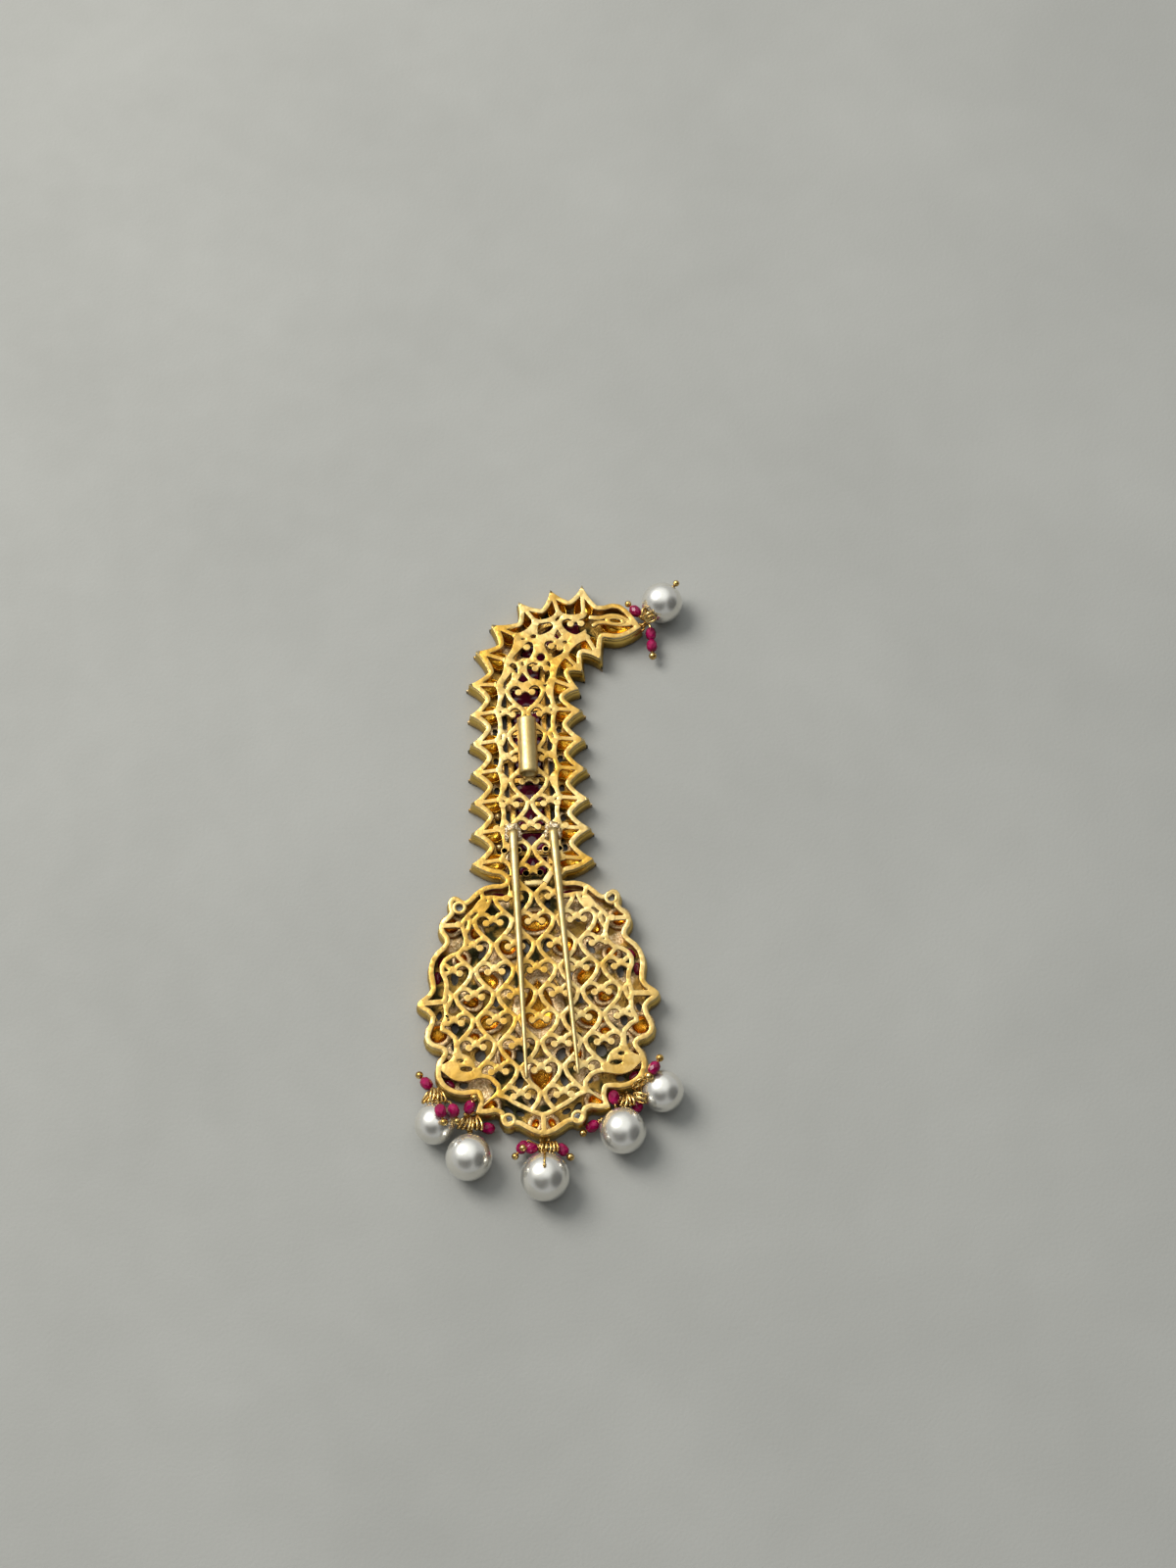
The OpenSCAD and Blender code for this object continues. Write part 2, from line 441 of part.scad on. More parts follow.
module plate() {
  difference() {
    linear_extrude(plate_t) difference() {
      offset(delta = flare) outline();
      gaps_2d();
    }
    // seats from the front, their closed backs hollowed from behind
    translate([0, 0, -1]) linear_extrude(1.95) gems_2d(CLOSED_SEATS, stone_gap);
    translate([0, 0, 1.25]) linear_extrude(1) gems_2d(CLOSED_SEATS, -0.15);
    // open seats with a ledge at the back
    translate([0, 0, -1]) linear_extrude(2.1) windows_2d(stone_gap);
    translate([0, 0, 0.5]) linear_extrude(2) windows_2d(-0.1);
  }
}

module ring_2d(width, inset) {
  difference() {
    offset(delta = -inset) outline();
    offset(delta = -inset - width) outline();
  }
}

// The two rails beside the stem's stones and the bars between them
module stem_setting() {
  for (s = [-1, 1]) translate([0, 0, plate_t - 0.1]) linear_extrude(rail_h - plate_t + 0.1)
    strand(smooth_open([for (p = STEM_LINE) [p[0], p[1]] + s*(p[3] + 0.6)*[cos(p[2]), sin(p[2])]], 2), 0.8);
  translate([0, 0, plate_t - 0.1]) linear_extrude(0.6) for (i = [0 : len(STEM_LINE) - 2]) {
    a = STEM_LINE[i];
    b = STEM_LINE[i + 1];
    translate([a[0] + b[0], a[1] + b[1]]/2) rotate((a[2] + b[2])/2) square([7, 0.9], true);
  }
}

// Raised rims round the settings' backs
module setting_rims() {
  translate([0, 0, plate_t - 0.1]) linear_extrude(0.5) difference() {
    union() {
      gems_2d(paired(BASE_SEATS), 0.55);
      gems_2d(CENTRE_SEAT, 2.2);
    }
    gems_2d(paired(BASE_SEATS), -0.05);
    gems_2d(CENTRE_SEAT, 0.6);
    gaps_2d();
    windows_2d(0.1);
  }
}

function dir(a, b) = (b - a)/norm(b - a);

module aim(p, d) {
  translate(p) rotate([0, acos(d[2]), atan2(d[1], d[0])]) children();
}

// A tapered pin with a blunt tip
module pin(a, b) {
  length = norm(b - a);
  aim(a, dir(a, b)) rotate_extrude() polygon([
    [0, 0], [pin_root_r, 0], [pin_end_r, length], [0.6*pin_end_r, length + 0.3], [0, length + 0.36]]);
}

SOCKET_START = [0, 24.1, depth + socket_r + 0.05];
PIN_ROOTS = [[-3.85, 11.9, depth + pin_root_r + 0.05], [4.55, 11.9, depth + pin_root_r + 0.05]];
PIN_ENDS = [[-3.05, -41.5, depth + 1.9], [7.42, -41.1, depth + 1.9]];

module socket() {
  difference() {
    union() {
      translate(SOCKET_START) rotate([-90, 0, 0]) cylinder(r = socket_r, h = socket_len);
      translate([-1.2, 24.6, depth - 0.3]) cube([2.4, socket_len - 1, 0.9]);
    }
    translate(SOCKET_START - [0, 1, 0]) rotate([-90, 0, 0]) cylinder(r = socket_bore_r, h = socket_len + 2);
  }
}

module pins() {
  for (i = [0, 1]) {
    pin(PIN_ROOTS[i], PIN_ENDS[i]);
    // the solder that holds the pin
    intersection() {
      translate(PIN_ROOTS[i] + [0, 0.1, -0.95]) sphere(r = 1.75);
      translate(PIN_ROOTS[i] - [5, 5, pin_root_r + 0.6]) cube([10, 10, 5]);
    }
  }
}

module tag() {
  translate([3.15, 1.6, depth - 0.1]) rotate(-35) translate([-0.65, -1.4, 0]) cube([1.3, 2.8, 0.28]);
}

// Each drop hangs from a ring on the wall: [x, y, direction outwards]
HOOKS = [[-20.4, -42.1, 231.5], [-13.6, -47.6, 238], [0, -52.95, 270], [16.2, -44.1, 270], [19.3, -43, 275],
  [25.3, 58.8, 31.3]];
hook_z = 2.3;
ring_r = 0.85;
hub_r = 0.5;
link_play = 0.16;
// Pearls: [x, y, radius, 1 where the pin goes right through to a ball]; each lies on the surface
PEARLS = [[-21.9, -49.5, 4.2, 0], [-15.25, -56.7, 4.75, 0], [-0.2, -61.4, 4.95, 0], [15.85, -52.8, 4.75, 0],
  [24.3, -45, 4.35, 0], [30.7, 63.8, 4.5, 1]];
// Loops of wire on each pearl's pin: [first, number, radius]
LOOPS = [[-0.25, 3, 0.9], [0.2, 4, 1.1], [-0.3, 3, 0.95], [0.1, 3, 0.7], [-0.4, 2, 0.45], [-0.2, 2, 0.8]];
loop_step = 0.42;

function heading(a) = [cos(a), sin(a), 0];
function hook_centre(k) = [HOOKS[k][0], HOOKS[k][1], hook_z] + 0.45*heading(HOOKS[k][2]);
function hub(k) = hook_centre(k) + (link_play + 2*ring_r)*heading(HOOKS[k][2]) + [0, 0, 0.3];
function pearl_at(k) = [PEARLS[k][0], PEARLS[k][1], PEARLS[k][2]];

// Where a wire bends on its way to a bead
BEND_1A = [-22.4, -42.15, 2.6];
BEND_1B = [-21.5, -44.7, 6];
BEND_1C = [-20.95, -46.2, 9.4];
BEND_1D = [-20, -44.9, 4.4];
BEND_1E = [-18.5, -46, 7.5];
BEND_2 = [-15.8, -48, 3.3];
BEND_3A = [-3.3, -53.4, 2.6];
BEND_3B = [2.2, -54.4, 2.9];
BEND_4A = [14.4, -48, 2.6];
BEND_4B = [14.55, -47.8, 4.6];
BEND_5A = [19.6, -44.6, 6];
BEND_5B = [21.6, -42.75, 8.1];
BEND_6 = [27.9, 59.1, 2.7];

// Ruby beads: [drop, where its wire comes from, middle of the bead, radius of the end ball or 0]
BEADS = [[1, BEND_1A, [-23.5, -40.7, 2.5], 0.7], [1, BEND_1C, [-20.45, -48.1, 9.35], 0.7],
  [1, BEND_1E, [-17.95, -47.75, 7.6], 0.65], [2, BEND_2, [-14.8, -46.5, 4.6], 0.7],
  [2, hub(1), [-11.3, -50.5, 2.4], 0], [3, BEND_3A, [-4.5, -54.75, 2.5], 0.65],
  [3, hub(2), [-2.75, -55.6, 5.2], 0.6], [3, BEND_3B, [3.5, -55.8, 3.3], 0.7],
  [4, BEND_4A, [9.8, -51.1, 2.4], 0.7], [4, BEND_4B, [14.4, -45.95, 4.7], 0],
  [5, hub(4), [19.1, -47.5, 3], 0], [5, BEND_5B, [22.7, -41.1, 8.2], 0.7],
  [6, hub(5), [24.85, 62.85, 2.8], 0.65], [6, BEND_6, [27.95, 57.3, 2.6], 0], [6, BEND_6, [28, 54.45, 2.6], 0.75]];
// The wires between a hub and the bends: [drop, from, to]
RUNS = [[1, hub(0), BEND_1A], [1, hub(0), BEND_1B], [1, BEND_1B, BEND_1C], [1, hub(0), BEND_1D],
  [1, BEND_1D, BEND_1E], [2, hub(1), BEND_2], [3, hub(2), BEND_3A], [3, hub(2), BEND_3B], [4, hub(3), BEND_4A],
  [4, BEND_4A, BEND_4B], [5, hub(4), BEND_5A], [5, BEND_5A, BEND_5B], [6, hub(5), BEND_6]];

module ring(r) {
  rotate_extrude($fn = 12) translate([r, 0]) circle(r = wire_r, $fn = 5);
}

module wire(a, b) {
  aim(a, dir(a, b)) cylinder(r = wire_r, h = norm(b - a), $fn = 6);
}

module end_ball(p, r) {
  translate(p) sphere(r = r, $fn = 10);
}

module hooks() {
  for (k = [0 : DROPS - 1]) translate(hook_centre(k)) rotate(HOOKS[k][2]) ring(ring_r);
}

// The wires of one drop: its link and hub, the pearl's pin with its loops, and the beads' wires
module drop_wire(k) {
  h = hub(k);
  p = pearl_at(k);
  d = dir(h, p);
  through = PEARLS[k][3] == 1;
  end = p + (through ? PEARLS[k][2] + 0.75 : 0.6)*d;
  color("goldenrod") {
    end_ball(h, hub_r);
    translate(h - [0, 0, 0.3] - ring_r*heading(HOOKS[k][2])) rotate([90, 0, HOOKS[k][2]]) ring(ring_r);
    wire(h, end);
    if (through) end_ball(end, 0.7);
    for (i = [0 : LOOPS[k][1] - 1])
      aim(h + (LOOPS[k][0] + loop_step*i)*d + [0, 0, LOOPS[k][2]], d) ring(LOOPS[k][2]);
    for (r = RUNS) if (r[0] == k + 1) {
      wire(r[1], r[2]);
      end_ball(r[2], 0.32);
    }
    for (b = BEADS) if (b[0] == k + 1) {
      reach = ruby_half + (b[3] > 0 ? b[3] + 0.15 : -0.3);
      tip = b[2] + reach*dir(b[1], b[2]);
      wire(b[1], tip);
      if (b[3] > 0) end_ball(tip, b[3]);
    }
  }
}

// A pearl drilled from the side of its hook, right through or to just past its middle
module pearl(k) {
  p = pearl_at(k);
  d = dir(hub(k), p);
  color("ivory") aim(p, d) difference() {
    sphere(r = PEARLS[k][2]);
    translate([0, 0, -8]) cylinder(r = drill_r, h = PEARLS[k][3] == 1 ? 16 : 9);
  }
}

module ruby(i) {
  b = BEADS[i];
  color("crimson") aim(b[2], dir(b[1], b[2])) rotate_extrude($fn = 12) polygon([
    [drill_r, -ruby_half], [0.8, -ruby_half], [ruby_r, -0.45],
    [ruby_r, 0.45], [0.8, ruby_half], [drill_r, ruby_half]]);
}

// A cut stone with its table to the front: rows are [height, scale] of rings of the same outline
module cut_stone(line, levels) {
  n = len(line);
  m = len(levels);
  polyhedron(
    points = [for (l = levels) each [for (p = line) [p[0]*l[1], p[1]*l[1], l[0]]]],
    faces = concat([[for (i = [0 : n - 1]) i]], [[for (i = [n - 1 : -1 : 0]) (m - 1)*n + i]],
      [for (j = [0 : m - 2], i = [0 : n - 1]) [j*n + i, (j + 1)*n + i, (j + 1)*n + (i + 1) % n, j*n + (i + 1) % n]]));
}

SHALLOW = [[0.12, 0.6], [0.42, 1], [0.85, 0.5]];
DEEP = [[0.12, 0.62], [0.45, 1], [0.8, 1], [1.05, 0.8], [1.6, 0.7]];
STEM_CUT = [[0.12, 0.7], [0.45, 1], [0.8, 1], [1.05, 0.92], [1.75, 0.84]];

module stones(rows, levels) {
  for (row = rows) place(row) cut_stone(gem_line(row[2], row[3], row[5]), levels);
}

module stem_stone(k) {
  s = STEM_LINE[k - 1];
  color("darkred") translate([s[0], s[1], 0]) rotate(s[2])
    cut_stone(reversed(oblong(s[3], s[4], 0.35)), STEM_CUT);
}

module centre_stone() {
  color("firebrick") stones(CENTRE_SEAT, SHALLOW);
}

module leaf_stones() {
  color("firebrick") stones(LEAF_SEATS, SHALLOW);
}

module base_stones() {
  color("firebrick") stones(paired(BASE_SEATS), SHALLOW);
}

module clear_stones() {
  color("lavender") stones(paired(CLEAR_SEATS), SHALLOW);
}

module red_border_stones() {
  color("darkred") stones(paired(RED_SEATS), DEEP);
}

// The front plate with its settings, the outer wall on it and the rings that the drops hang from
module front_frame() {
  color("goldenrod") {
    translate([0, 0, plate_t - 0.1]) linear_extrude(depth - sheet_t - plate_t + 0.1) ring_2d(wall_t, 0.05);
    plate();
    stem_setting();
    setting_rims();
    hooks();
  }
}

// The pierced sheet on the wall, with the fittings soldered to it
module back_grille() {
  color("goldenrod") {
    pierced_sheet();
    socket();
    pins();
    tag();
  }
}

translate(shift) front_frame();
translate(shift) back_grille();
translate(shift) centre_stone();
translate(shift) leaf_stones();
translate(shift) base_stones();
translate(shift) clear_stones();
translate(shift) red_border_stones();
for (i = [1 : STEM_STONES]) translate(shift) stem_stone(i);
for (i = [1 : DROPS]) translate(shift) pearl(i - 1);
for (i = [1 : DROPS]) translate(shift) drop_wire(i - 1);
for (i = [1 : RUBIES]) translate(shift) ruby(i - 1);
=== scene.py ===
"""A gold turban ornament that lies face down, so that its pierced back is up."""

import math

import bmesh
import bpy
import numpy as np
from mathutils import Matrix, Vector, noise
from mathutils.geometry import delaunay_2d_cdt


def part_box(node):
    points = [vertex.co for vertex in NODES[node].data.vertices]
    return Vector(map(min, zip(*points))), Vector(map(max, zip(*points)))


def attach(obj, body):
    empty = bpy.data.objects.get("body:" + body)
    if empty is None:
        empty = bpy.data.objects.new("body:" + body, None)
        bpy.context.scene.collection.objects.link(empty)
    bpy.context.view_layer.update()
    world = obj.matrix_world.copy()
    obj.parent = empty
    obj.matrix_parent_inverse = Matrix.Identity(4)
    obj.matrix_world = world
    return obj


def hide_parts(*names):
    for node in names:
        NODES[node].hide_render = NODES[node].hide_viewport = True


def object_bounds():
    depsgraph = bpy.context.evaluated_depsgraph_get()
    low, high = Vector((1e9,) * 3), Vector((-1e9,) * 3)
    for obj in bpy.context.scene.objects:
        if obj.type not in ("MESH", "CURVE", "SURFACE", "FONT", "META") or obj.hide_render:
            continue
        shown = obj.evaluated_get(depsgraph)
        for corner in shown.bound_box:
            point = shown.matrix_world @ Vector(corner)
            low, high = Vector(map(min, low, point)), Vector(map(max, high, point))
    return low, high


MM = 0.001
UP = Vector((0, 0, 1))

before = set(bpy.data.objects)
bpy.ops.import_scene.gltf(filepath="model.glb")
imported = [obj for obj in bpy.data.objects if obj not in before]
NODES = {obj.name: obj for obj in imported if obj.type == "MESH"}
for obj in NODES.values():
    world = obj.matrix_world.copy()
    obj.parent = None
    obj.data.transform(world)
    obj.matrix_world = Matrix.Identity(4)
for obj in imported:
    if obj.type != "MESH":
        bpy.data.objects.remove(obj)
CAD_BOX = [list(corner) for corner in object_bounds()]


# The photograph's camera, in the plane of the pierced back

LENS = 54.09
VIEW_DISTANCE = 500
VIEW_TILT = math.radians(21)
VIEW_LEAN = math.radians(2.8)

# Heights of the metal, in millimetres

DEPTH = 5.0
SHEET_T = 0.8
# How far an edge is rounded, and the share of that at which the middle of the rounding lies
EDGE_ROUND = 0.13
SOFT = 0.3
# How far from a corner its rounding starts, on the outline and in the sheet's holes
OUTLINE_CORNER = 0.22
HOLE_CORNER = 0.28
# Turns in degrees: below the first the line stays, and then a corner gets one, two or four steps
CORNER_TURNS = (7, 22, 55)
# The share of a side that a corner's rounding may take
CORNER_SHARE = 0.46
# How much wider the visible strands are on each side than the solid's
STRAND_GROW = 0.075
# Height and length of the slow waves in the sheet's top and in the settings' backs
SHEET_WAVE = 0.06
SHEET_WAVE_LENGTH = 3
BOWL_WAVE = 0.09
BOWL_WAVE_LENGTH = 1.1
# How strongly the large faces keep their shading flat
FLAT_WEIGHT = 90
# How near to a height a face lies that counts as being at it
LEVEL_PLAY = 0.01

# The first stem stone stands on the stem's middle line.
# All places below are measured from that line and from the neck.
FIRST_STONE_Y = 5.3
STONE_LOW, STONE_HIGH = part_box("stem_stone_1")
STONE_MIDDLE = (STONE_LOW + STONE_HIGH) / 2 / MM
SHIFT = Vector((STONE_MIDDLE.x, STONE_MIDDLE.y - FIRST_STONE_Y, 0))

# The middle of the photograph on that plane
VIEW_CENTRE = Vector((12.46, 21.96, DEPTH))

# Fittings: the plume socket, the turban pins and a small blank tag
SOCKET_Y = (24.1, 36.7)
SOCKET_Z = 7.1
SOCKET_R = 2.03
SOCKET_BORE = 1.6
PIN_ROOTS = ((-3.85, 11.9, 6.05), (4.55, 11.9, 6.05))
PIN_ENDS = ((-3.05, -41.5, 6.9), (7.42, -41.1, 6.9))
PIN_R = (0.98, 0.37)
# A pin's steps and sides, and how far its point stands out and how thick that ends
PIN_STEPS = 40
PIN_SIDES = 20
PIN_POINT = 0.3
PIN_POINT_R = 0.2
# The lumps of solder at a pin's root: name, shift and height, half sizes, roughness, grain, seed
PIN_LUMPS = (
    ("pin_solder", (0, 0.35, 5.2), (1.7, 1.45, 1.05), 0.5, 0.8, 0),
    ("pin_solder_left", (-1.25, -0.9, 5.2), (0.6, 1.1, 0.7), 0.35, 0.5, 5),
    ("pin_solder_right", (1.3, -0.8, 5.2), (0.6, 1.2, 0.7), 0.35, 0.5, 9))
SOCKET_ROUND = 0.12
# The share of the socket's half length over which it is shaded straight
SOCKET_STRAIGHT = 0.9
TAG = (3.15, 1.6, 5.04)
TAG_TURN = math.radians(-35)
TAG_SIZE = (1.28, 2.76, 0.26)
TAG_ROUND = 0.07
NECK_BAR = (0.1, 0.9, 3.2)
NECK_BAR_SIZE = (4.6, 1.7, 1.5)
NECK_BAR_ROUND = 0.55
# Raised knobs of solder beside the stones: middle, height and radius, then how rough they all are
KNOBS = ((8, 16.3, 2.6, 0.8), (-7, 16.3, 2.6, 0.8), (-6.9, 9.4, 2.6, 0.75))
KNOB_ROUGH = 0.12
KNOB_GRAIN = 0.8
KNOB_SEED = 20
# The least length that a lump's roughness is spread over
LUMP_CORE = 0.3

DROPS = 6
RUBIES = 15
STEM_STONES = 12

# Where each drop hangs on the wall: x, y, direction outwards in degrees
HOOKS = (
    (-20.4, -42.1, 231.5),
    (-13.6, -47.6, 238),
    (0, -52.95, 270),
    (16.2, -44.1, 270),
    (19.3, -43, 275),
    (25.3, 58.8, 31.3),
)
HOOK_Z = 2.3
# How far outside the wall a hook's ring has its middle, and how much higher the hub of a drop's wires lies
HOOK_OUT = 0.45
HUB_LIFT = 0.3
RING_R = 0.85
WIRE_R = 0.25
LINK_PLAY = 0.16
RING_STEPS = 24
COIL_STEPS = 12
COIL_SIDES = 6
# A row of oval loops over each pearl's pin: number, half length, width of the row, degrees it fans out
LOOPS = (
    (6, 1.5, 3.4, 50), (6, 1.6, 3.6, 45), (7, 1.05, 4.6, 40), (6, 1.35, 3.4, 60), (6, 1.35, 3.2, 60),
    (4, 1.1, 2, 60))
# A loop's half width, how far the row stands over the hub, and how much thicker its wire is
LOOP_WIDTH = 0.7
LOOP_RISE = 1.5
LOOP_THICK = 1.1
# How a loop leans up and how it rolls over: degrees, how far these stray, and how fast along the row
LOOP_LEAN = (22, 8, 2.1)
LOOP_ROLL = (56, 10, 1.7)
# How far from a ruby bead's middle the loops stay, and how far they climb to do so
BEAD_REACH = 1.25
LOOP_CLIMBS = (0, 0.4, 0.8, 1.2, 1.6, 2, 2.4)
# The ball where a drop's wires meet
HUB_BALL = 0.5
# How far the pearl's pin goes past the pearl, or past its middle if it isn't bored through, and its ball
PEARL_PIN_OUT = 0.75
PEARL_PIN_IN = 0.6
PEARL_PIN_BALL = 0.7
# Windings before a pearl and before a bead: length, radius, radius of the wire, turns
PEARL_COIL = (1.1, 0.42, 0.2, 3)
BEAD_COIL = (1.1, 0.38, 0.18, 2)
# How far the windings stay from the pearl
PEARL_COIL_GAP = 0.05
# The least length of free wire that gets windings before a bead, and where they start at the earliest
COIL_ROOM = 0.8
COIL_START = 0.3
# The gap between a bead and the ball after it, and how far inside the bead a wire without a ball ends
BEAD_BALL_GAP = 0.15
BEAD_WIRE_IN = 0.3
# The drop with a short wire that lies over its pearl: its places in degrees, and the ball at its end
TAIL_DROP = 3
TAIL_ANGLES = (42, 60, 76)
TAIL_BALL = 0.4
# The drop whose pin goes right through its pearl to a ball
BORED_THROUGH = 6
# The drop that each ruby bead belongs to, and the radius of the ball at its wire's end
BEAD_DROPS = (1, 1, 1, 2, 2, 3, 3, 3, 4, 4, 5, 5, 6, 6, 6)
BEAD_BALLS = (0.8, 0.8, 0.75, 0.8, 0, 0.75, 0.7, 0.8, 0.8, 0, 0, 0.8, 0.75, 0, 0.85)
# Where a wire bends on its way to a bead
BEND_1A = (-22.4, -42.15, 2.6)
BEND_1B = (-21.5, -44.7, 6)
BEND_1C = (-20.95, -46.2, 9.4)
BEND_1D = (-20, -44.9, 4.4)
BEND_1E = (-18.5, -46, 7.5)
BEND_2 = (-15.8, -48, 3.3)
BEND_3A = (-3.3, -53.4, 2.6)
BEND_3B = (2.2, -54.4, 2.9)
BEND_4A = (14.4, -48, 2.6)
BEND_4B = (14.55, -47.8, 4.6)
BEND_5A = (19.6, -44.6, 6)
BEND_5B = (21.6, -42.75, 8.1)
BEND_6 = (27.9, 59.1, 2.7)
ROUTES = {
    1: [BEND_1A], 2: [BEND_1B, BEND_1C], 3: [BEND_1D, BEND_1E], 4: [BEND_2], 6: [BEND_3A], 8: [BEND_3B],
    9: [BEND_4A], 10: [BEND_4A, BEND_4B], 12: [BEND_5A, BEND_5B], 14: [BEND_6], 15: [BEND_6]}
# Large balls of gold where a wire turns: drop, place, radius
WIRE_BALLS = ((5, BEND_5B, 0.95),)
# A bead's rings of facets: height and radius
BEAD_HALF = 1.4
BEAD_RINGS = ((-BEAD_HALF, 0.5), (-0.95, 1.0), (-0.32, 1.19), (0.32, 1.19), (0.95, 1.0), (BEAD_HALF, 0.5))
BEAD_SIDES = 8
# How much further each bead is turned than the one before, in radians
BEAD_TURN = 0.4
# A pearl's waves: their share of its size, and their length
PEARL_WAVE = 0.004
PEARL_WAVE_LENGTH = 5

# Leaves up the stem: the lowest on the right, the step up, and how much shorter each next one is
LEAF_ROWS = 6
LEAF_ROOT = (6.35, 5.9)
LEAF_TIP = (12.85, 5.2)
LEAF_DY = 6.75
LEAF_SHRINK = 0.13


def stem_leaves(side):
    """Root and tip of each leaf's rib up the stem, on its left for side -1 and on its right for 1."""
    leaves = []
    for k in range(LEAF_ROWS):
        root = (side * LEAF_ROOT[0], LEAF_ROOT[1] + LEAF_DY * k)
        tip = (side * (LEAF_TIP[0] - LEAF_SHRINK * k), LEAF_TIP[1] + LEAF_DY * k)
        leaves.append((root, tip))
    return leaves


# All leaves: up the stem and round the bend, and the one at the tip
LEFT_LEAVES = stem_leaves(-1) + [
    ((-6, 45.9), (-12.2, 46.2)), ((-3.9, 51.6), (-10.4, 54)), ((-1.5, 57.3), (-6.8, 60.2)),
    ((2.8, 60.5), (-0.7, 65.4)), ((8, 62.2), (6.4, 68)), ((13.4, 61.7), (13.4, 68.8))]
RIGHT_LEAVES = stem_leaves(1) + [
    ((6.2, 46.4), (11.6, 44)), ((9, 52.1), (12.7, 47.8)), ((13.9, 56.1), (16.7, 50.5))]
TIP_LEAF = ((17.2, 60.3), (25.8, 58))
# Backs of the settings in the base, right half: x, y, half width, half length, turn in degrees, 1 for a pear
CENTRE_SEAT = (0, -25.1, 3.9, 6.4, 0, 1)
BASE_SEATS = (
    (0, -7.2, 3.2, 2.2, 0, 0), (5.9, -12.3, 1.9, 1.9, 0, 0), (10.5, -19.3, 1.8, 2.7, -55, 1),
    (10.9, -28.6, 1.9, 2.9, -115, 1), (7.3, -35.9, 1.3, 1.7, -160, 1), (13.4, -31.6, 1.1, 1.1, 0, 0),
    (14, -24, 1.3, 1.7, -90, 1), (0, -40.3, 2.5, 3.1, 180, 1), (17.5, -7.3, 1.6, 1.6, 0, 0),
    (20.8, -30.4, 1.9, 1.9, 0, 0), (19.3, -37.3, 1.3, 1.5, 0, 0), (10.8, -46, 1.2, 1.6, -110, 1),
    (1.7, -50.1, 0.7, 1.1, 20, 0), (12.5, -9.2, 1.1, 1.3, 0, 0), (15.6, -14.8, 1.1, 1.3, 30, 0))
# Hearts of the pierced pattern: distance across, up on base and stem, height of the lowest on the stem
HEART_DX = 8.7
BASE_HEART_DY = 10.55
STEM_HEART_DY = 10.3
HEART_Y0 = 3.2
# Ends of the scrolls: place from the heart, radius, sides, and how far they stand over the sheet
SCROLL = (1.45, -0.58)
SCROLL_R = 0.76
SCROLL_SIDES = 20
SCROLL_RISE = 0.05
# An end stands free if half of the points this far round its middle lie in holes that come this near
SCROLL_PROBES = 12
SCROLL_PROBE_R = 0.8
SCROLL_NEAR = 1.2
# Ends of the scrolls in the bend
BEND_SCROLLS = ((2.4, 49.3), (4.8, 49.2), (0.8, 54.4), (6.1, 54.4), (7.9, 54), (10.5, 59.5), (12.8, 59.5))


# Shapes

def here(point):
    """A point measured from the stem's middle line and the neck, as a point of the model in metres."""
    return (Vector(point) + SHIFT) * MM


def node_points(name):
    """The vertices of a CAD node, in millimetres."""
    vertices = NODES[name].data.vertices
    flat = np.empty(len(vertices) * 3, np.float32)
    vertices.foreach_get("co", flat)
    return flat.reshape(-1, 3) / MM


def middle(node):
    """The middle of a CAD node, measured as the tables above are, in millimetres."""
    points = node_points(node)
    return Vector((points.min(0) + points.max(0)) / 2) - SHIFT


def loops_at(name, level):
    """The closed lines, in millimetres, round a node's flat faces at one height."""
    points = node_points(name)
    numbers = {}
    label = [numbers.setdefault((round(float(p[0]), 3), round(float(p[1]), 3)), len(numbers)) for p in points]
    places = list(numbers)
    edges = set()
    for face in NODES[name].data.polygons:
        if max(abs(points[v][2] - level) for v in face.vertices) > LEVEL_PLAY:
            continue
        ring = [label[v] for v in face.vertices]
        for a, b in zip(ring, ring[1:] + ring[:1]):
            if a == b:
                continue
            if (b, a) in edges:
                edges.remove((b, a))
            else:
                edges.add((a, b))
    after = {}
    for a, b in sorted(edges):
        after.setdefault(a, []).append(b)
    loops = []
    while after:
        start = next(iter(after))
        loop, at = [], start
        while at in after:
            loop.append(places[at])
            step = after[at].pop()
            if not after[at]:
                del after[at]
            at = step
        if at == start and len(loop) > 2:
            loops.append(np.array(loop))
    return sorted(loops, key=lambda loop: -np.ptp(loop[:, 0]) * np.ptp(loop[:, 1]))


def without_steps(loop, least=0.06):
    """The line without points that nearly coincide."""
    keep = [loop[0]]
    for p in loop[1:]:
        if np.linalg.norm(p - keep[-1]) > least:
            keep.append(p)
    if np.linalg.norm(keep[0] - keep[-1]) < least:
        keep.pop()
    return np.array(keep)


def rounded(loop, reach):
    """The line with each corner turned into a short curve that starts within reach of it."""
    loop = without_steps(loop)
    count = len(loop)
    gentle, blunt, sharp = CORNER_TURNS
    out = []
    for i in range(count):
        p = loop[i]
        back, ahead = loop[i - 1] - p, loop[(i + 1) % count] - p
        back_length, ahead_length = np.linalg.norm(back), np.linalg.norm(ahead)
        turn = math.degrees(math.acos(np.clip(-back @ ahead / back_length / ahead_length, -1, 1)))
        if turn < gentle:
            out.append(p)
            continue
        cut = min(reach, CORNER_SHARE * back_length, CORNER_SHARE * ahead_length)
        start, end = p + back / back_length * cut, p + ahead / ahead_length * cut
        steps = 1 if turn < blunt else 2 if turn < sharp else 4
        for j in range(steps + 1):
            u = j / steps
            out.append((1 - u) ** 2 * start + 2 * u * (1 - u) * p + u * u * end)
    return np.array(out)


def add_object(name, mesh, smooth=True):
    piece = bpy.data.objects.new(name, mesh)
    bpy.context.scene.collection.objects.link(piece)
    for face in mesh.polygons:
        face.use_smooth = smooth
    return piece


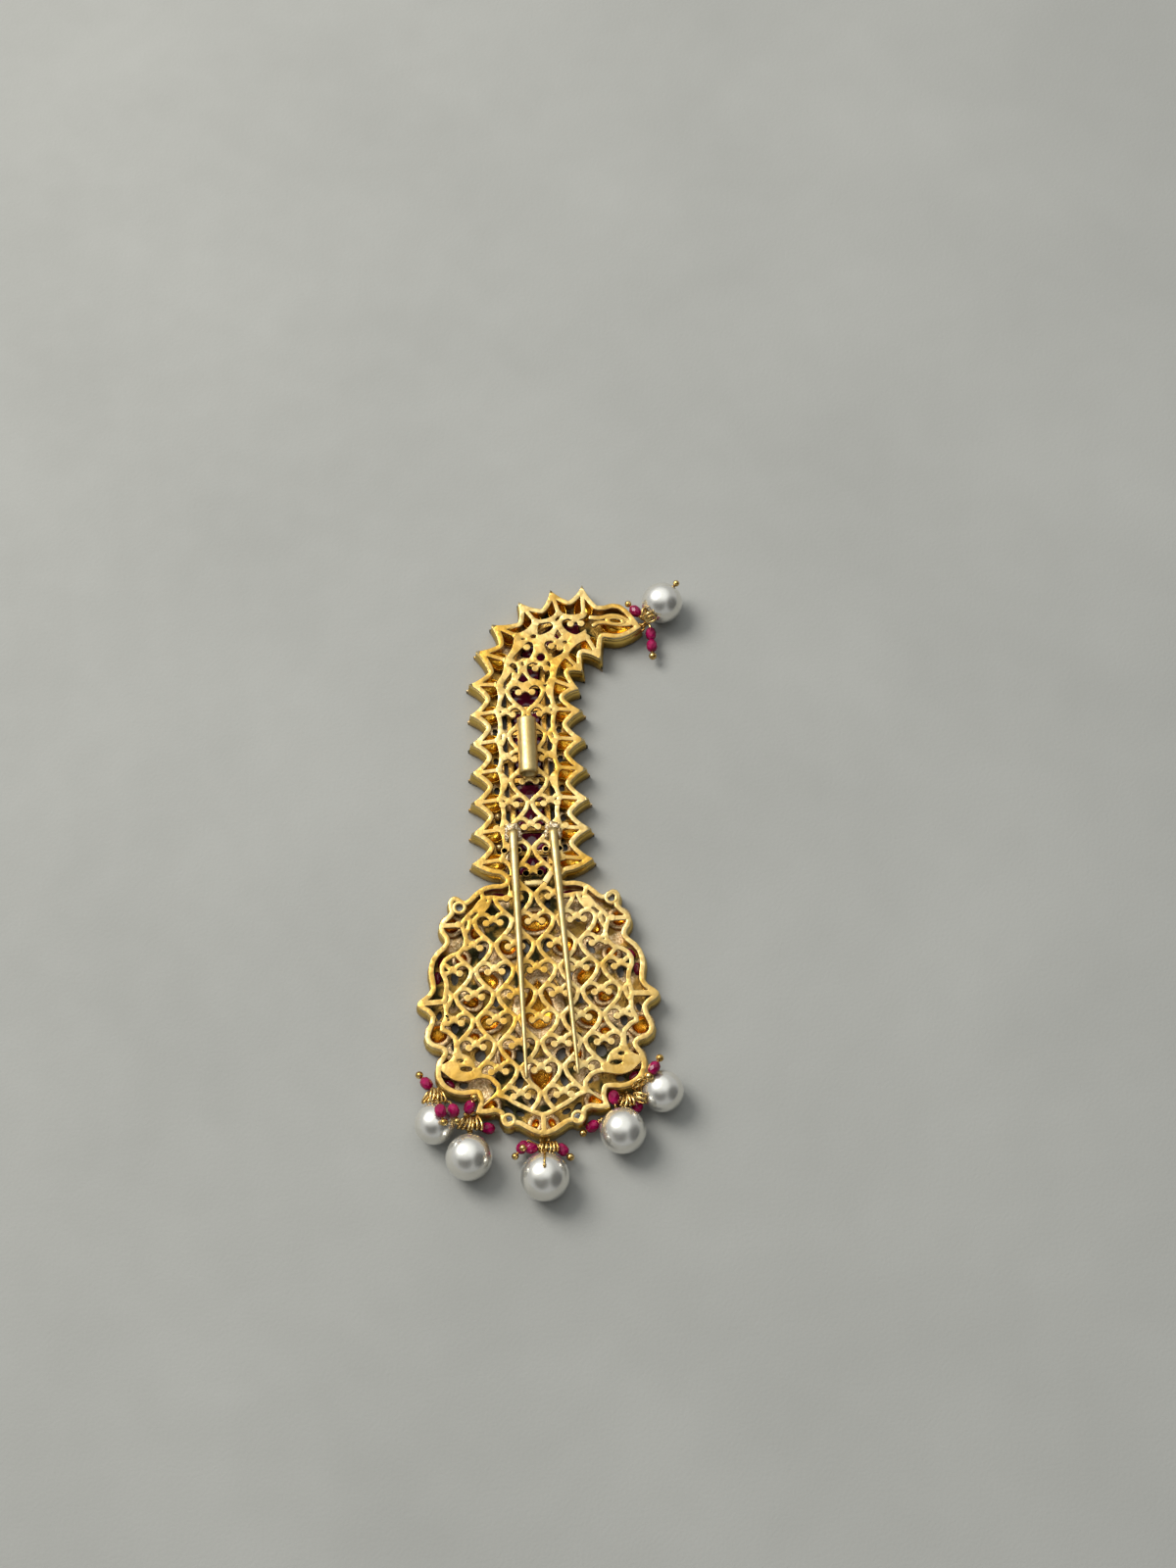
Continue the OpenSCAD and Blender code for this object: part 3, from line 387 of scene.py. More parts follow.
def from_bmesh(name, bm, smooth=True):
    bmesh.ops.recalc_face_normals(bm, faces=bm.faces)
    mesh = bpy.data.meshes.new(name)
    bm.to_mesh(mesh)
    bm.free()
    return add_object(name, mesh, smooth)


def outward(line):
    """The direction straight out of a closed line's inside, at each of its points."""
    along = np.roll(line, -1, 0) - np.roll(line, 1, 0)
    out = np.stack((along[:, 1], -along[:, 0]), 1) / np.linalg.norm(along, axis=1)[:, None]
    turned = np.sum(line[:, 0] * np.roll(line[:, 1], -1) - np.roll(line[:, 0], -1) * line[:, 1])
    return out * math.copysign(1, turned)


def inside(loops, points):
    """Whether each point lies inside an odd number of the closed lines."""
    a = np.concatenate(loops)
    b = np.concatenate([np.roll(loop, -1, 0) for loop in loops])
    rise = np.where(b[:, 1] == a[:, 1], 1, b[:, 1] - a[:, 1])
    found = []
    for x, y in points:
        cross = (a[:, 1] > y) != (b[:, 1] > y)
        left = x < (b[:, 0] - a[:, 0]) * (y - a[:, 1]) / rise + a[:, 0]
        found.append(np.count_nonzero(cross & left) % 2 == 1)
    return found


def filled(name, loops, low, high, edge):
    """A plate between two heights with the given outline, then its holes, and its edges rounded by edge."""
    soft = SOFT * edge
    levels = (
        (edge, high), (soft, high - soft), (0, high - edge), (0, low + edge), (soft, low + soft), (edge, low))
    into_metal = [-outward(loops[0])] + [outward(loop) for loop in loops[1:]]
    flat = [loop + edge * way for loop, way in zip(loops, into_metal)]
    corners, sides, lines, ring_of = [], [], [], []
    for loop, way in zip(loops, into_metal):
        count, start = len(loop), len(corners)
        for inset, z in levels:
            corners += [(x, y, z) for x, y in loop + inset * way]
        for level in range(len(levels) - 1):
            a, b = start + level * count, start + (level + 1) * count
            sides += [(a + j, a + (j + 1) % count, b + (j + 1) % count, b + j) for j in range(count)]
        first = len(ring_of)
        lines += [(first + j, first + (j + 1) % count) for j in range(count)]
        ring_of += [(start + j, start + (len(levels) - 1) * count + j) for j in range(count)]
    points = [Vector(p) for p in np.concatenate(flat)]
    places, _, triangles, origins, _, _ = delaunay_2d_cdt(points, lines, [], 0, 1e-5)
    ends = []
    for place, origin in zip(places, origins):
        if origin:
            ends.append(ring_of[origin[0]])
        else:
            ends.append((len(corners), len(corners) + 1))
            corners += [(place.x, place.y, high), (place.x, place.y, low)]
    centres = [sum((places[v] for v in face), Vector((0, 0))) / 3 for face in triangles]
    for face, is_metal in zip(triangles, inside(flat, centres)):
        if is_metal:
            sides.append(tuple(ends[v][0] for v in face))
            sides.append(tuple(ends[v][1] for v in reversed(face)))
    mesh = bpy.data.meshes.new(name)
    mesh.from_pydata([Vector(p) * MM for p in corners], [], sides)
    bm = bmesh.new()
    bm.from_mesh(mesh)
    bpy.data.meshes.remove(mesh)
    return from_bmesh(name, bm)


def circle(count):
    """Angles of count even steps round a circle."""
    return [2 * math.pi * j / count for j in range(count)]


def unit_ring(count):
    """Points of a circle of radius 1 about the origin."""
    return np.array([(math.cos(a), math.sin(a)) for a in circle(count)])


def skin(bm, rings, capped):
    """Faces from each ring of vertices to the next, capped, or else closed from the last to the first."""
    if capped:
        bm.faces.new(rings[0])
        bm.faces.new(rings[-1])
    for a, b in zip(rings, rings[1:] if capped else rings[1:] + rings[:1]):
        for j in range(len(a)):
            k = (j + 1) % len(a)
            bm.faces.new((a[j], a[k], b[k], b[j]))


def block(size, edge, steps, profile):
    """A block about the origin with rounded edges."""
    bm = bmesh.new()
    bmesh.ops.create_cube(bm, size=1, matrix=Matrix.Diagonal((*(s * MM for s in size), 1)))
    bmesh.ops.bevel(
        bm, geom=bm.edges[:], offset=edge * MM, segments=steps, affect="EDGES", profile=profile)
    return bm


def keep_tops_flat(piece):
    """Shades the large faces flat, so that only the rounded edges blend."""
    piece.modifiers.new("flat tops", "WEIGHTED_NORMAL").weight = FLAT_WEIGHT


class Builder:
    """Collects tubes, rings and balls, in metres, into one mesh."""

    def __init__(self):
        self.bm = bmesh.new()

    def tube(self, points, radii, sides=8, closed=False):
        """A tube along points, closed into a ring or capped."""
        points = [Vector(p) for p in points]
        count = len(points)
        radii = [radii] * count if isinstance(radii, float) else radii
        rings = []
        across = None
        for i, p in enumerate(points):
            before = points[i - 1] if closed or i else p
            after = points[(i + 1) % count] if closed or i < count - 1 else p
            along = (after - before).normalized()
            if across is None:
                across = along.orthogonal().normalized()
            across = (across - along * across.dot(along)).normalized()
            side = along.cross(across)
            rings.append([
                self.bm.verts.new(p + radii[i] * (math.cos(a) * across + math.sin(a) * side))
                for a in circle(sides)])
        if closed:
            turn = min(range(sides), key=lambda k: (rings[-1][0].co - rings[0][k].co).length)
            self.join(rings[-1], rings[0], turn)
        else:
            self.bm.faces.new(list(reversed(rings[0])))
            self.bm.faces.new(rings[-1])
        for a, b in zip(rings, rings[1:]):
            self.join(a, b, 0)

    def join(self, a, b, turn):
        """Faces between two rings, the second turned by a number of its vertices."""
        n = len(a)
        for j in range(n):
            k = (j + 1) % n
            self.bm.faces.new((a[j], a[k], b[(k + turn) % n], b[(j + turn) % n]))

    def ring(self, centre, axis, radius, wire):
        """A wire ring about an axis."""
        turn = Vector(axis).to_track_quat("Z", "Y")
        flat = [Vector((radius * math.cos(a), radius * math.sin(a), 0)) for a in circle(RING_STEPS)]
        self.tube([Vector(centre) + turn @ p for p in flat], wire, closed=True)

    def coil(self, start, end, radius, wire, turns):
        """A helix of wire round the way from start to end."""
        start, end = Vector(start), Vector(end)
        turn = (end - start).to_track_quat("Z", "Y")
        steps = COIL_STEPS * turns
        points = []
        for j in range(steps + 1):
            a = 2 * math.pi * j / COIL_STEPS
            rise = (end - start).length * j / steps
            points.append(start + turn @ Vector((radius * math.cos(a), radius * math.sin(a), rise)))
        self.tube(points, wire, COIL_SIDES)

    def ball(self, centre, radius, segments=16, slot=0):
        """A ball with the material in the given slot."""
        place = Matrix.Translation(centre)
        made = bmesh.ops.create_uvsphere(
            self.bm, u_segments=segments, v_segments=segments // 2, radius=radius, matrix=place)
        for v in made["verts"]:
            for face in v.link_faces:
                face.material_index = slot

    def done(self, name, smooth=True):
        return from_bmesh(name, self.bm, smooth)


# Materials

class Finish:
    """A procedural material: a Principled shader with the textures that feed it."""

    def __init__(self, name, **values):
        self.material = bpy.data.materials.new(name)
        self.material.use_nodes = True
        self.tree = self.material.node_tree
        self.shader = self.tree.nodes["Principled BSDF"]
        for socket, value in values.items():
            self.shader.inputs[socket.replace("_", " ")].default_value = value
        self.place = self.tree.nodes.new("ShaderNodeTexCoord").outputs["Object"]

    def node(self, kind, **values):
        made = self.tree.nodes.new(kind)
        for name, value in values.items():
            setattr(made, name, value)
        return made

    def link(self, source, target):
        self.tree.links.new(source, target)

    def noise(self, size, detail=3.0, roughness=0.55):
        """Noise whose features are about size millimetres."""
        made = self.node("ShaderNodeTexNoise")
        made.inputs["Scale"].default_value = 1 / (size * MM)
        made.inputs["Detail"].default_value = detail
        made.inputs["Roughness"].default_value = roughness
        self.link(self.place, made.inputs["Vector"])
        return made.outputs["Fac"]

    def height(self, low, high):
        """0 below low and 1 above high, in millimetres over the surface the ornament lies on."""
        split = self.node("ShaderNodeSeparateXYZ")
        self.link(self.place, split.inputs[0])
        return self.range(split.outputs["Z"], low * MM, high * MM, 0, 1)

    def slope(self, flat, steep):
        """0 where the surface's normal points up by flat or more, and 1 where by steep or less."""
        split = self.node("ShaderNodeSeparateXYZ")
        self.link(self.node("ShaderNodeNewGeometry").outputs["Normal"], split.inputs[0])
        return self.range(split.outputs["Z"], flat, steep, 0, 1)

    def range(self, source, low, high, to_low, to_high):
        made = self.node("ShaderNodeMapRange")
        for socket, value in zip(("From Min", "From Max", "To Min", "To Max"), (low, high, to_low, to_high)):
            made.inputs[socket].default_value = value
        self.link(source, made.inputs["Value"])
        return made.outputs["Result"]

    def mix(self, factor, a, b):
        """A colour between a and b; each is a colour or another node's output."""
        made = self.node("ShaderNodeMix", data_type="RGBA")
        self.link(factor, made.inputs[0])
        for socket, value in ((made.inputs[6], a), (made.inputs[7], b)):
            if isinstance(value, tuple):
                socket.default_value = (*value, 1)
            else:
                self.link(value, socket)
        return made.outputs[2]

    def colour(self, source):
        self.link(source, self.shader.inputs["Base Color"])

    def roughness(self, source, low, high):
        self.link(self.range(source, 0.3, 0.7, low, high), self.shader.inputs["Roughness"])

    def bump(self, *layers):
        """Bumps from (noise output, height in millimetres) pairs."""
        normal = None
        for source, tall in layers:
            made = self.node("ShaderNodeBump")
            made.inputs["Distance"].default_value = tall * MM
            self.link(source, made.inputs["Height"])
            if normal:
                self.link(normal, made.inputs["Normal"])
            normal = made.outputs["Normal"]
        self.link(normal, self.shader.inputs["Normal"])


def sheet_gold():
    """Polished gold plate: slow changes of tint, small duller patches, a faint grain, paler rounded edges
    that are a painted highlight together with edge wear, and painted shade on the lower sides of the strands.
    """
    f = Finish("gold_sheet", Metallic=1.0)
    tint = f.mix(f.range(f.noise(12, 2), 0.38, 0.62, 0, 1), (0.50, 0.285, 0.05), (0.65, 0.475, 0.19))
    worn = f.mix(f.range(f.noise(1.6, 4), 0.45, 0.7, 0, 0.6), tint, (0.38, 0.205, 0.03))
    # Paler where the surface turns from flat: a painted highlight along the rounded edges, together with edge
    # wear
    edge_highlight_and_wear = f.mix(f.slope(0.95, 0.6), worn, (0.80, 0.66, 0.38))
    # Darker amber lower down the sheet's sides: painted shade
    f.colour(f.mix(f.height(4.1, 4.8), (0.38, 0.18, 0.02), edge_highlight_and_wear))
    f.roughness(f.noise(2.2, 4), 0.26, 0.44)
    f.bump((f.noise(0.5, 4), 0.03), (f.noise(2.5, 2), 0.1))
    return f.material


def frame_gold():
    """The metal under the sheet: low down, the plate in near-black patches of painted shade and pale patches
    rough like a casting, and amber walls above.
    """
    f = Finish("gold_cast", Metallic=1.0)
    light = f.mix(f.range(f.noise(5, 3), 0.35, 0.65, 0, 1), (0.56, 0.28, 0.04), (0.72, 0.44, 0.11))
    # Near-black patches on the plate: painted shade under the sheet
    painted_shade_patches = f.mix(f.range(f.noise(4.2, 2), 0.44, 0.54, 0, 1), (0.035, 0.032, 0.012), (0.36, 0.21, 0.045))
    grains = f.mix(f.range(f.noise(0.5, 3), 0.35, 0.65, 0, 1), (0.36, 0.21, 0.075), (0.74, 0.56, 0.32))
    shade_and_grains = f.mix(f.range(f.noise(5.5, 2), 0.52, 0.6, 0, 1), painted_shade_patches, grains)
    # Low down, the plate's painted shade and pale grains; above, the walls' own colour
    f.colour(f.mix(f.height(1.62, 2.1), shade_and_grains, light))
    f.roughness(f.noise(1.2, 4), 0.26, 0.55)
    f.bump((f.noise(0.45, 4), 0.07), (f.noise(1.8, 3), 0.16))
    return f.material


def bowl_gold():
    """The hollowed backs of the settings: deep amber and bright in the hollow, the deep amber being painted
    shade, and pale and rough on the rim.
    """
    f = Finish("gold_bowl", Metallic=1.0)
    # Deep amber in the hollow: painted shade, darker than the rim's metal
    hollow = f.mix(f.range(f.noise(1.6, 3), 0.35, 0.65, 0, 1), (0.50, 0.19, 0.008), (0.74, 0.38, 0.04))
    rim = f.mix(f.range(f.noise(0.4, 4), 0.4, 0.6, 0, 1), (0.42, 0.26, 0.10), (0.72, 0.54, 0.31))
    on_rim = f.height(2.05, 2.25)
    f.colour(f.mix(on_rim, hollow, rim))
    f.link(f.range(on_rim, 0, 1, 0.22, 0.5), f.shader.inputs["Roughness"])
    f.bump((f.noise(0.4, 4), 0.08), (f.noise(1.3, 3), 0.1))
    return f.material


def leaf_bowl_gold():
    """The same in the leaves, where no rim shows: deep amber all over, as painted shade."""
    f = Finish("gold_leaf_bowl", Metallic=1.0)
    # Deep amber: painted shade in the hollows of the leaves
    f.colour(f.mix(f.range(f.noise(1.4, 3), 0.35, 0.65, 0, 1), (0.56, 0.26, 0.012), (0.80, 0.47, 0.06)))
    f.roughness(f.noise(0.9, 4), 0.12, 0.34)
    f.bump((f.noise(0.6, 3), 0.04), (f.noise(1.8, 2), 0.12))
    return f.material


def wall_gold():
    """The outside of the wall: bright yellow gold, deeper in colour near the plate, which is painted shade
    low down.
    """
    f = Finish("gold_wall", Metallic=1.0)
    light = f.mix(f.range(f.noise(4, 3), 0.35, 0.65, 0, 1), (0.64, 0.42, 0.08), (0.90, 0.66, 0.21))
    # Darker towards the plate: painted shade
    f.colour(f.mix(f.height(1.4, 4.2), (0.44, 0.275, 0.045), light))
    f.roughness(f.noise(1.0, 4), 0.24, 0.46)
    f.bump((f.noise(0.5, 4), 0.04), (f.noise(2.0, 2), 0.1))
    return f.material


def pale_gold():
    """The drawn tube and pins, the neck and the tag: a paler and duller gold."""
    f = Finish("pale_gold", Metallic=1.0)
    f.colour(f.mix(f.range(f.noise(2.5, 3), 0.35, 0.65, 0, 1), (0.52, 0.375, 0.145), (0.64, 0.49, 0.225)))
    f.roughness(f.noise(0.8, 4), 0.36, 0.5)
    f.bump((f.noise(0.4, 3), 0.025))
    return f.material


def solder():
    """Rough whitish-beige lumps."""
    f = Finish("solder", Metallic=0.9)
    f.colour(f.mix(f.range(f.noise(0.6, 4), 0.4, 0.6, 0, 1), (0.42, 0.29, 0.12), (0.70, 0.60, 0.44)))
    f.roughness(f.noise(0.5, 4), 0.32, 0.6)
    f.bump((f.noise(0.35, 4), 0.12))
    return f.material


def wire_gold():
    """The thin wires: smooth gold, between brown and pale yellow."""
    f = Finish("gold_wire", Metallic=1.0)
    f.colour(f.mix(f.range(f.noise(0.9, 3), 0.4, 0.6, 0, 1), (0.40, 0.23, 0.055), (0.78, 0.56, 0.22)))
    f.roughness(f.noise(0.5, 3), 0.16, 0.32)
    f.bump((f.noise(0.3, 3), 0.02))
    return f.material


def ball_gold():
    """The balls: brighter, yellower gold."""
    f = Finish("gold_ball", Metallic=0.7)
    f.colour(f.mix(f.range(f.noise(0.8, 3), 0.4, 0.6, 0, 1), (0.95, 0.56, 0.06), (1.0, 0.68, 0.14)))
    f.roughness(f.noise(0.5, 3), 0.14, 0.28)
    f.bump((f.noise(0.4, 3), 0.02))
    return f.material


def nacre():
    """A pearl: creamy white and lustrous under a clear coat, with faint clouds."""
    f = Finish("pearl_nacre", Metallic=0.8, Coat_Weight=1.0, Coat_Roughness=0.04, Coat_IOR=1.8)
    f.shader.inputs["Subsurface Weight"].default_value = 0.1
    f.shader.inputs["Subsurface Radius"].default_value = (1.2 * MM, 1.0 * MM, 0.8 * MM)
    f.colour(f.mix(f.range(f.noise(4, 2), 0.35, 0.65, 0, 1), (0.66, 0.635, 0.56), (0.75, 0.725, 0.655)))
    f.roughness(f.noise(2, 3), 0.2, 0.27)
    f.bump((f.noise(0.8, 3), 0.006))
    return f.material


def glass(name, dark, light, transmission, ior=1.6):
    """A cut stone: clear or foiled glass with a slight change of depth."""
    f = Finish(name, IOR=ior, Transmission_Weight=transmission)
    f.colour(f.mix(f.range(f.noise(1.5, 2), 0.35, 0.65, 0, 1), dark, light))
    f.roughness(f.noise(1.0, 3), 0.03, 0.12)
    f.bump((f.noise(1.2, 2), 0.004))
    return f.material


def floor_finish():
    """The plain, matt grey surface that the ornament lies on."""
    f = Finish("floor")
    f.colour(f.mix(f.range(f.noise(60, 3), 0.3, 0.7, 0, 1), (0.287, 0.287, 0.264), (0.318, 0.318, 0.293)))
    f.roughness(f.noise(8, 2), 0.8, 0.92)
    f.bump((f.noise(0.7, 2), 0.05))
    return f.material


def wear(piece, *materials):
    """Gives a piece these materials in place of any that it has."""
    piece.data.materials.clear()
    for material in materials:
        piece.data.materials.append(material)


def settle(piece, materials):
    """Gives a finished piece its materials and its place on the ornament."""
    wear(piece, *materials)
    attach(piece, "root")
    return piece


# The pierced sheet

def make_sheet(loops, gold):
    """The sheet with its edges rounded, its strands a little wider than the solid's and its top uneven."""
    smooth = [rounded(loops[0], OUTLINE_CORNER)] + [rounded(loop, HOLE_CORNER) for loop in loops[1:]]
    smooth = smooth[:1] + [loop - STRAND_GROW * outward(loop) for loop in smooth[1:]]
    sheet = filled("pierced_sheet", smooth, DEPTH - SHEET_T, DEPTH, EDGE_ROUND)
    for v in sheet.data.vertices:
        if v.co.z > (DEPTH - SHEET_T / 2) * MM:
            v.co.z += SHEET_WAVE * MM * noise.noise(v.co / (SHEET_WAVE_LENGTH * MM))
    keep_tops_flat(sheet)
    settle(sheet, [gold])
    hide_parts("back_grille")


def scroll_places():
    """The ends of the scrolls of all hearts, also those that the sheet's edge cuts off."""
    places = list(BEND_SCROLLS)
    for dy, first, last in ((BASE_HEART_DY, -6, 0), (STEM_HEART_DY, 0, 4)):
        for c in range(-5, 6):
            for r in range(first, last + 1):
                x, y = c * HEART_DX / 2, HEART_Y0 + (r + (c % 2) / 2) * dy
                places += [(x + s * SCROLL[0], y + SCROLL[1]) for s in (-1, 1)]
    return places


def make_scrolls(loops, gold):
    """A flat round end on each scroll that stands free in a hole of the sheet."""
    bm = bmesh.new()
    probes = SCROLL_PROBE_R * unit_ring(SCROLL_PROBES)
    top = DEPTH + SCROLL_RISE
    soft = SOFT * EDGE_ROUND
    rows = ((0, DEPTH - SHEET_T), (0, top - EDGE_ROUND), (soft, top - soft), (EDGE_ROUND, top))
    for x, y in scroll_places():
        centre = np.array((x + SHIFT.x, y + SHIFT.y))
        near = [loop for loop in loops[1:] if np.abs(loop - centre).max(1).min() < SCROLL_NEAR]
        if not near or inside(near, [centre])[0]:
            continue
        if sum(inside(near, centre + probes)) < SCROLL_PROBES / 2:
            continue
        rings = []
        for inset, z in rows:
            r = SCROLL_R - inset
            rings.append([
                bm.verts.new(here((x + r * math.cos(a), y + r * math.sin(a), z)))
                for a in circle(SCROLL_SIDES)])
        skin(bm, rings, capped=True)
    ends = settle(from_bmesh("scroll_ends", bm), [gold])
    keep_tops_flat(ends)


# The wall and the settings' backs, seen through the piercing

# The wall's bands: distance out from the sheet's outline, and height
WALL_ROWS = (
    (0.04, 4.2), (0.1, 4.1), (0.14, 3.4), (0.05, 3.3), (0.05, 3.15), (0.2, 3.02), (0.38, 2.2), (0.5, 1.4),
    (0.5, 0.7), (0.35, 0.25), (-0.3, 0.25), (-0.3, 4.2))
# A pear's outline: how it narrows to its point, and how full its belly is
PEAR_TAPER = 0.7
PEAR_BELLY = 1.12
# Rows of the hollows from the middle over the rim: share of the seat's size, growth, height
LEAF_BOWL = (
    (0.05, 0, 1.72), (0.35, 0, 1.8), (0.62, 0, 2.05), (0.85, 0, 2.55), (1, 0, 3.3), (1, 0.1, 3.3),
    (1, 0.12, 1.5))
SEAT_BOWL = (
    (0.05, 0, 1.36), (0.4, 0, 1.42), (0.7, 0, 1.66), (0.9, 0, 2.05), (0.97, 0, 2.35), (1, 0.15, 2.48),
    (1, 0.8, 2.46), (1, 0.98, 2.25), (1, 1.02, 1.5))
CENTRE_BOWL = (
    (0.05, 0, 1.36), (0.4, 0, 1.42), (0.66, 0, 1.7), (0.8, 0, 2.1), (0.86, 0, 2.35), (0.92, 0.1, 2.45),
    (1, 2.0, 2.45), (1, 2.35, 2.2), (1, 2.4, 1.5))
# The hollow in a leaf and in the leaf at the tip: share of the way up the rib, half width, half length
LEAF_SEAT = (0.33, 2.1, 2.8)
TIP_SEAT = (0.4, 2.3, 3.5)
# Rounded backs of the curved red stones, right half, in the form of the seats
RED_BACKS = (
    (8.3, -1.45, 1, 2.7, -94, 0), (19.6, -14.9, 0.75, 1.3, 42, 0), (20.7, -18.3, 0.75, 1.4, 0, 0),
    (18.9, -40.9, 0.9, 1.3, 125, 0))
RED_DOME = ((0.05, 0, 2.4), (0.45, 0, 2.36), (0.8, 0, 2.15), (0.97, 0, 1.8), (1, 0, 1.2))
# Openings in small round lobes of the rim: middle and height, then radius outside, of the hole, and steps
EYES = ((16.1, -3.5), (-15.6, -4.2), (7, -49.6), (-7, -49.6))
EYE_R = 1.5
EYE_HOLE_R = 0.78
EYE_STEPS = 28
# How far the rings stand over the sheet
EYE_RISE = 0.03
# The clear stone under each opening: radius, share of it in depth, height of its middle
EYE_STONE_R = 1.15
EYE_STONE_FLAT = 0.35
EYE_STONE_Z = 3.3
# The lens-shaped ring in the tip leaf: middle, turn in degrees, half sizes of its outside and of its hole
TIP_EYE = ((20.3, 59.75), -10, (2.3, 1.05), (1.2, 0.42))
TIP_EYE_STEPS = 32


def make_wall_band(loops, gold):
    """Two flat bands with a groove between them round the outside of the wall."""
    line = rounded(loops[0], OUTLINE_CORNER)
    out = outward(line)
    out = sum(np.roll(out, turn, 0) for turn in range(-2, 3)) / 5
    bm = bmesh.new()
    rings = [[bm.verts.new((*(p * MM), z * MM)) for p in line + reach * out] for reach, z in WALL_ROWS]
    skin(bm, rings, capped=False)
    settle(from_bmesh("wall_band", bm), [gold])


def gem_line(w, l, pear, count=28):
    """A pear or an oval about the origin, its point up."""
    line = []
    for i in range(count):
        t = 2 * math.pi * (i + 0.5 * (1 - pear)) / count
        wide = math.sin(t / 2) ** PEAR_TAPER * PEAR_BELLY if pear else 1
        line.append(Vector((w * math.sin(t) * wide, l * math.cos(t), 0)))
    return line


def mirrored(seat):
    """The same seat on the other side of the middle line."""
    x, y, w, l, turn, pear = seat
    return (-x, y, w, l, -turn, pear)


def add_bowl(bm, seat, rows):
    """A hollow or a dome on a seat, by its rows from the middle out."""
    x, y, w, l, turn, pear = seat
    place = Matrix.Translation((x, y, 0)) @ Matrix.Rotation(math.radians(turn), 4, "Z")
    rings = []
    for share, grow, z in rows:
        line = gem_line(w * share + grow, l * share + grow, pear)
        ring = []
        for p in line:
            q = place @ p
            q.z = z + BOWL_WAVE * noise.noise(q / BOWL_WAVE_LENGTH)
            ring.append(bm.verts.new(here(q)))
        rings.append(ring)
    skin(bm, rings, capped=True)


def leaf_seat(root, tip, share, w, l):
    """A pear-shaped seat that points along a leaf's rib, at a share of the way up it."""
    root, tip = Vector(root), Vector(tip)
    x, y = root + share * (tip - root)
    turn = math.degrees(math.atan2(tip.y - root.y, tip.x - root.x)) - 90
    return (x, y, w, l, turn, 1)


def make_bowls(leaf_gold, seat_gold):
    """The hollowed backs of the settings, in the leaves and in the base."""
    bm = bmesh.new()
    for root, tip in LEFT_LEAVES + RIGHT_LEAVES:
        add_bowl(bm, leaf_seat(root, tip, *LEAF_SEAT), LEAF_BOWL)
    add_bowl(bm, leaf_seat(*TIP_LEAF, *TIP_SEAT), LEAF_BOWL)
    settle(from_bmesh("leaf_bowls", bm), [leaf_gold])
    bm = bmesh.new()
    add_bowl(bm, CENTRE_SEAT, CENTRE_BOWL)
    for seat in BASE_SEATS:
        add_bowl(bm, seat, SEAT_BOWL)
        if seat[0]:
            add_bowl(bm, mirrored(seat), SEAT_BOWL)
    settle(from_bmesh("setting_backs", bm), [seat_gold])


def make_eyes(gold, clear):
    """Round openings in the rim's lobes, each with the pale back of a clear stone under it."""
    ring = unit_ring(EYE_STEPS)
    for i, (x, y) in enumerate(EYES, 1):
        centre = np.array((x + SHIFT.x, y + SHIFT.y))
        lines = [centre + EYE_R * ring, centre + EYE_HOLE_R * ring]
        eye = filled(f"eye_{i}", lines, DEPTH - SHEET_T, DEPTH + EYE_RISE, EDGE_ROUND)
        settle(eye, [gold])
        bm = bmesh.new()
        flat = Matrix.Diagonal((1, 1, EYE_STONE_FLAT, 1))
        place = Matrix.Translation(here((x, y, EYE_STONE_Z))) @ flat
        bmesh.ops.create_icosphere(bm, subdivisions=2, radius=EYE_STONE_R * MM, matrix=place)
        settle(from_bmesh(f"eye_stone_{i}", bm, smooth=False), [clear])


def make_tip_eye(gold):
    """The lens-shaped ring in the leaf at the tip."""
    centre, turn, *sizes = TIP_EYE
    c, s = math.cos(math.radians(turn)), math.sin(math.radians(turn))
    ring = unit_ring(TIP_EYE_STEPS)
    middle_of_ring = np.array(centre) + (SHIFT.x, SHIFT.y)
    loops = [(ring * size) @ np.array(((c, s), (-s, c))) + middle_of_ring for size in sizes]
    settle(filled("tip_eye", loops, DEPTH - SHEET_T, DEPTH + EYE_RISE, EDGE_ROUND), [gold])


def make_red_backs(red):
    """The rounded backs of the curved red stones in the border."""
    bm = bmesh.new()
    for seat in RED_BACKS:
        add_bowl(bm, seat, RED_DOME)
        add_bowl(bm, mirrored(seat), RED_DOME)
    settle(from_bmesh("red_border_backs", bm), [red])


def make_neck(gold):
    """A rounded bar across the neck, and the knobs beside the stem's stones."""
    bm = block(NECK_BAR_SIZE, NECK_BAR_ROUND, 4, 0.5)
    bm.transform(Matrix.Translation(here(NECK_BAR)))
    settle(from_bmesh("neck_bar", bm), [gold])
    for i, (x, y, z, r) in enumerate(KNOBS, 1):
        lump(f"knob_{i}", (x, y, z), (r, r, r), KNOB_ROUGH, KNOB_GRAIN, KNOB_SEED + i, gold)


# Fittings on the back

def lathe(name, profile, sides=48):
    """A piece turned about its own Z axis, from rows of radius and height that close on themselves."""
    bm = bmesh.new()
    rings = [
        [bm.verts.new((r * MM * math.cos(a), r * MM * math.sin(a), z * MM)) for a in circle(sides)]
        for r, z in profile]
    skin(bm, rings, capped=False)
    return from_bmesh(name, bm)


def make_socket(gold):
    """The open tube on the stem that a plume is put into."""
    half = (SOCKET_Y[1] - SOCKET_Y[0]) / 2
    soft = SOCKET_ROUND
    socket = lathe("plume_socket", [
        (SOCKET_BORE, -half + soft), (SOCKET_BORE + soft, -half),
        (SOCKET_R - soft, -half), (SOCKET_R, -half + soft),
        (SOCKET_R, -half * SOCKET_STRAIGHT), (SOCKET_R, half * SOCKET_STRAIGHT),
        (SOCKET_R, half - soft), (SOCKET_R - soft, half),
        (SOCKET_BORE + soft, half), (SOCKET_BORE, half - soft)])
    socket.data.transform(Matrix.Rotation(math.pi / 2, 4, "X"))
    socket.data.transform(Matrix.Translation(here((0, sum(SOCKET_Y) / 2, SOCKET_Z))))
    settle(socket, [gold])


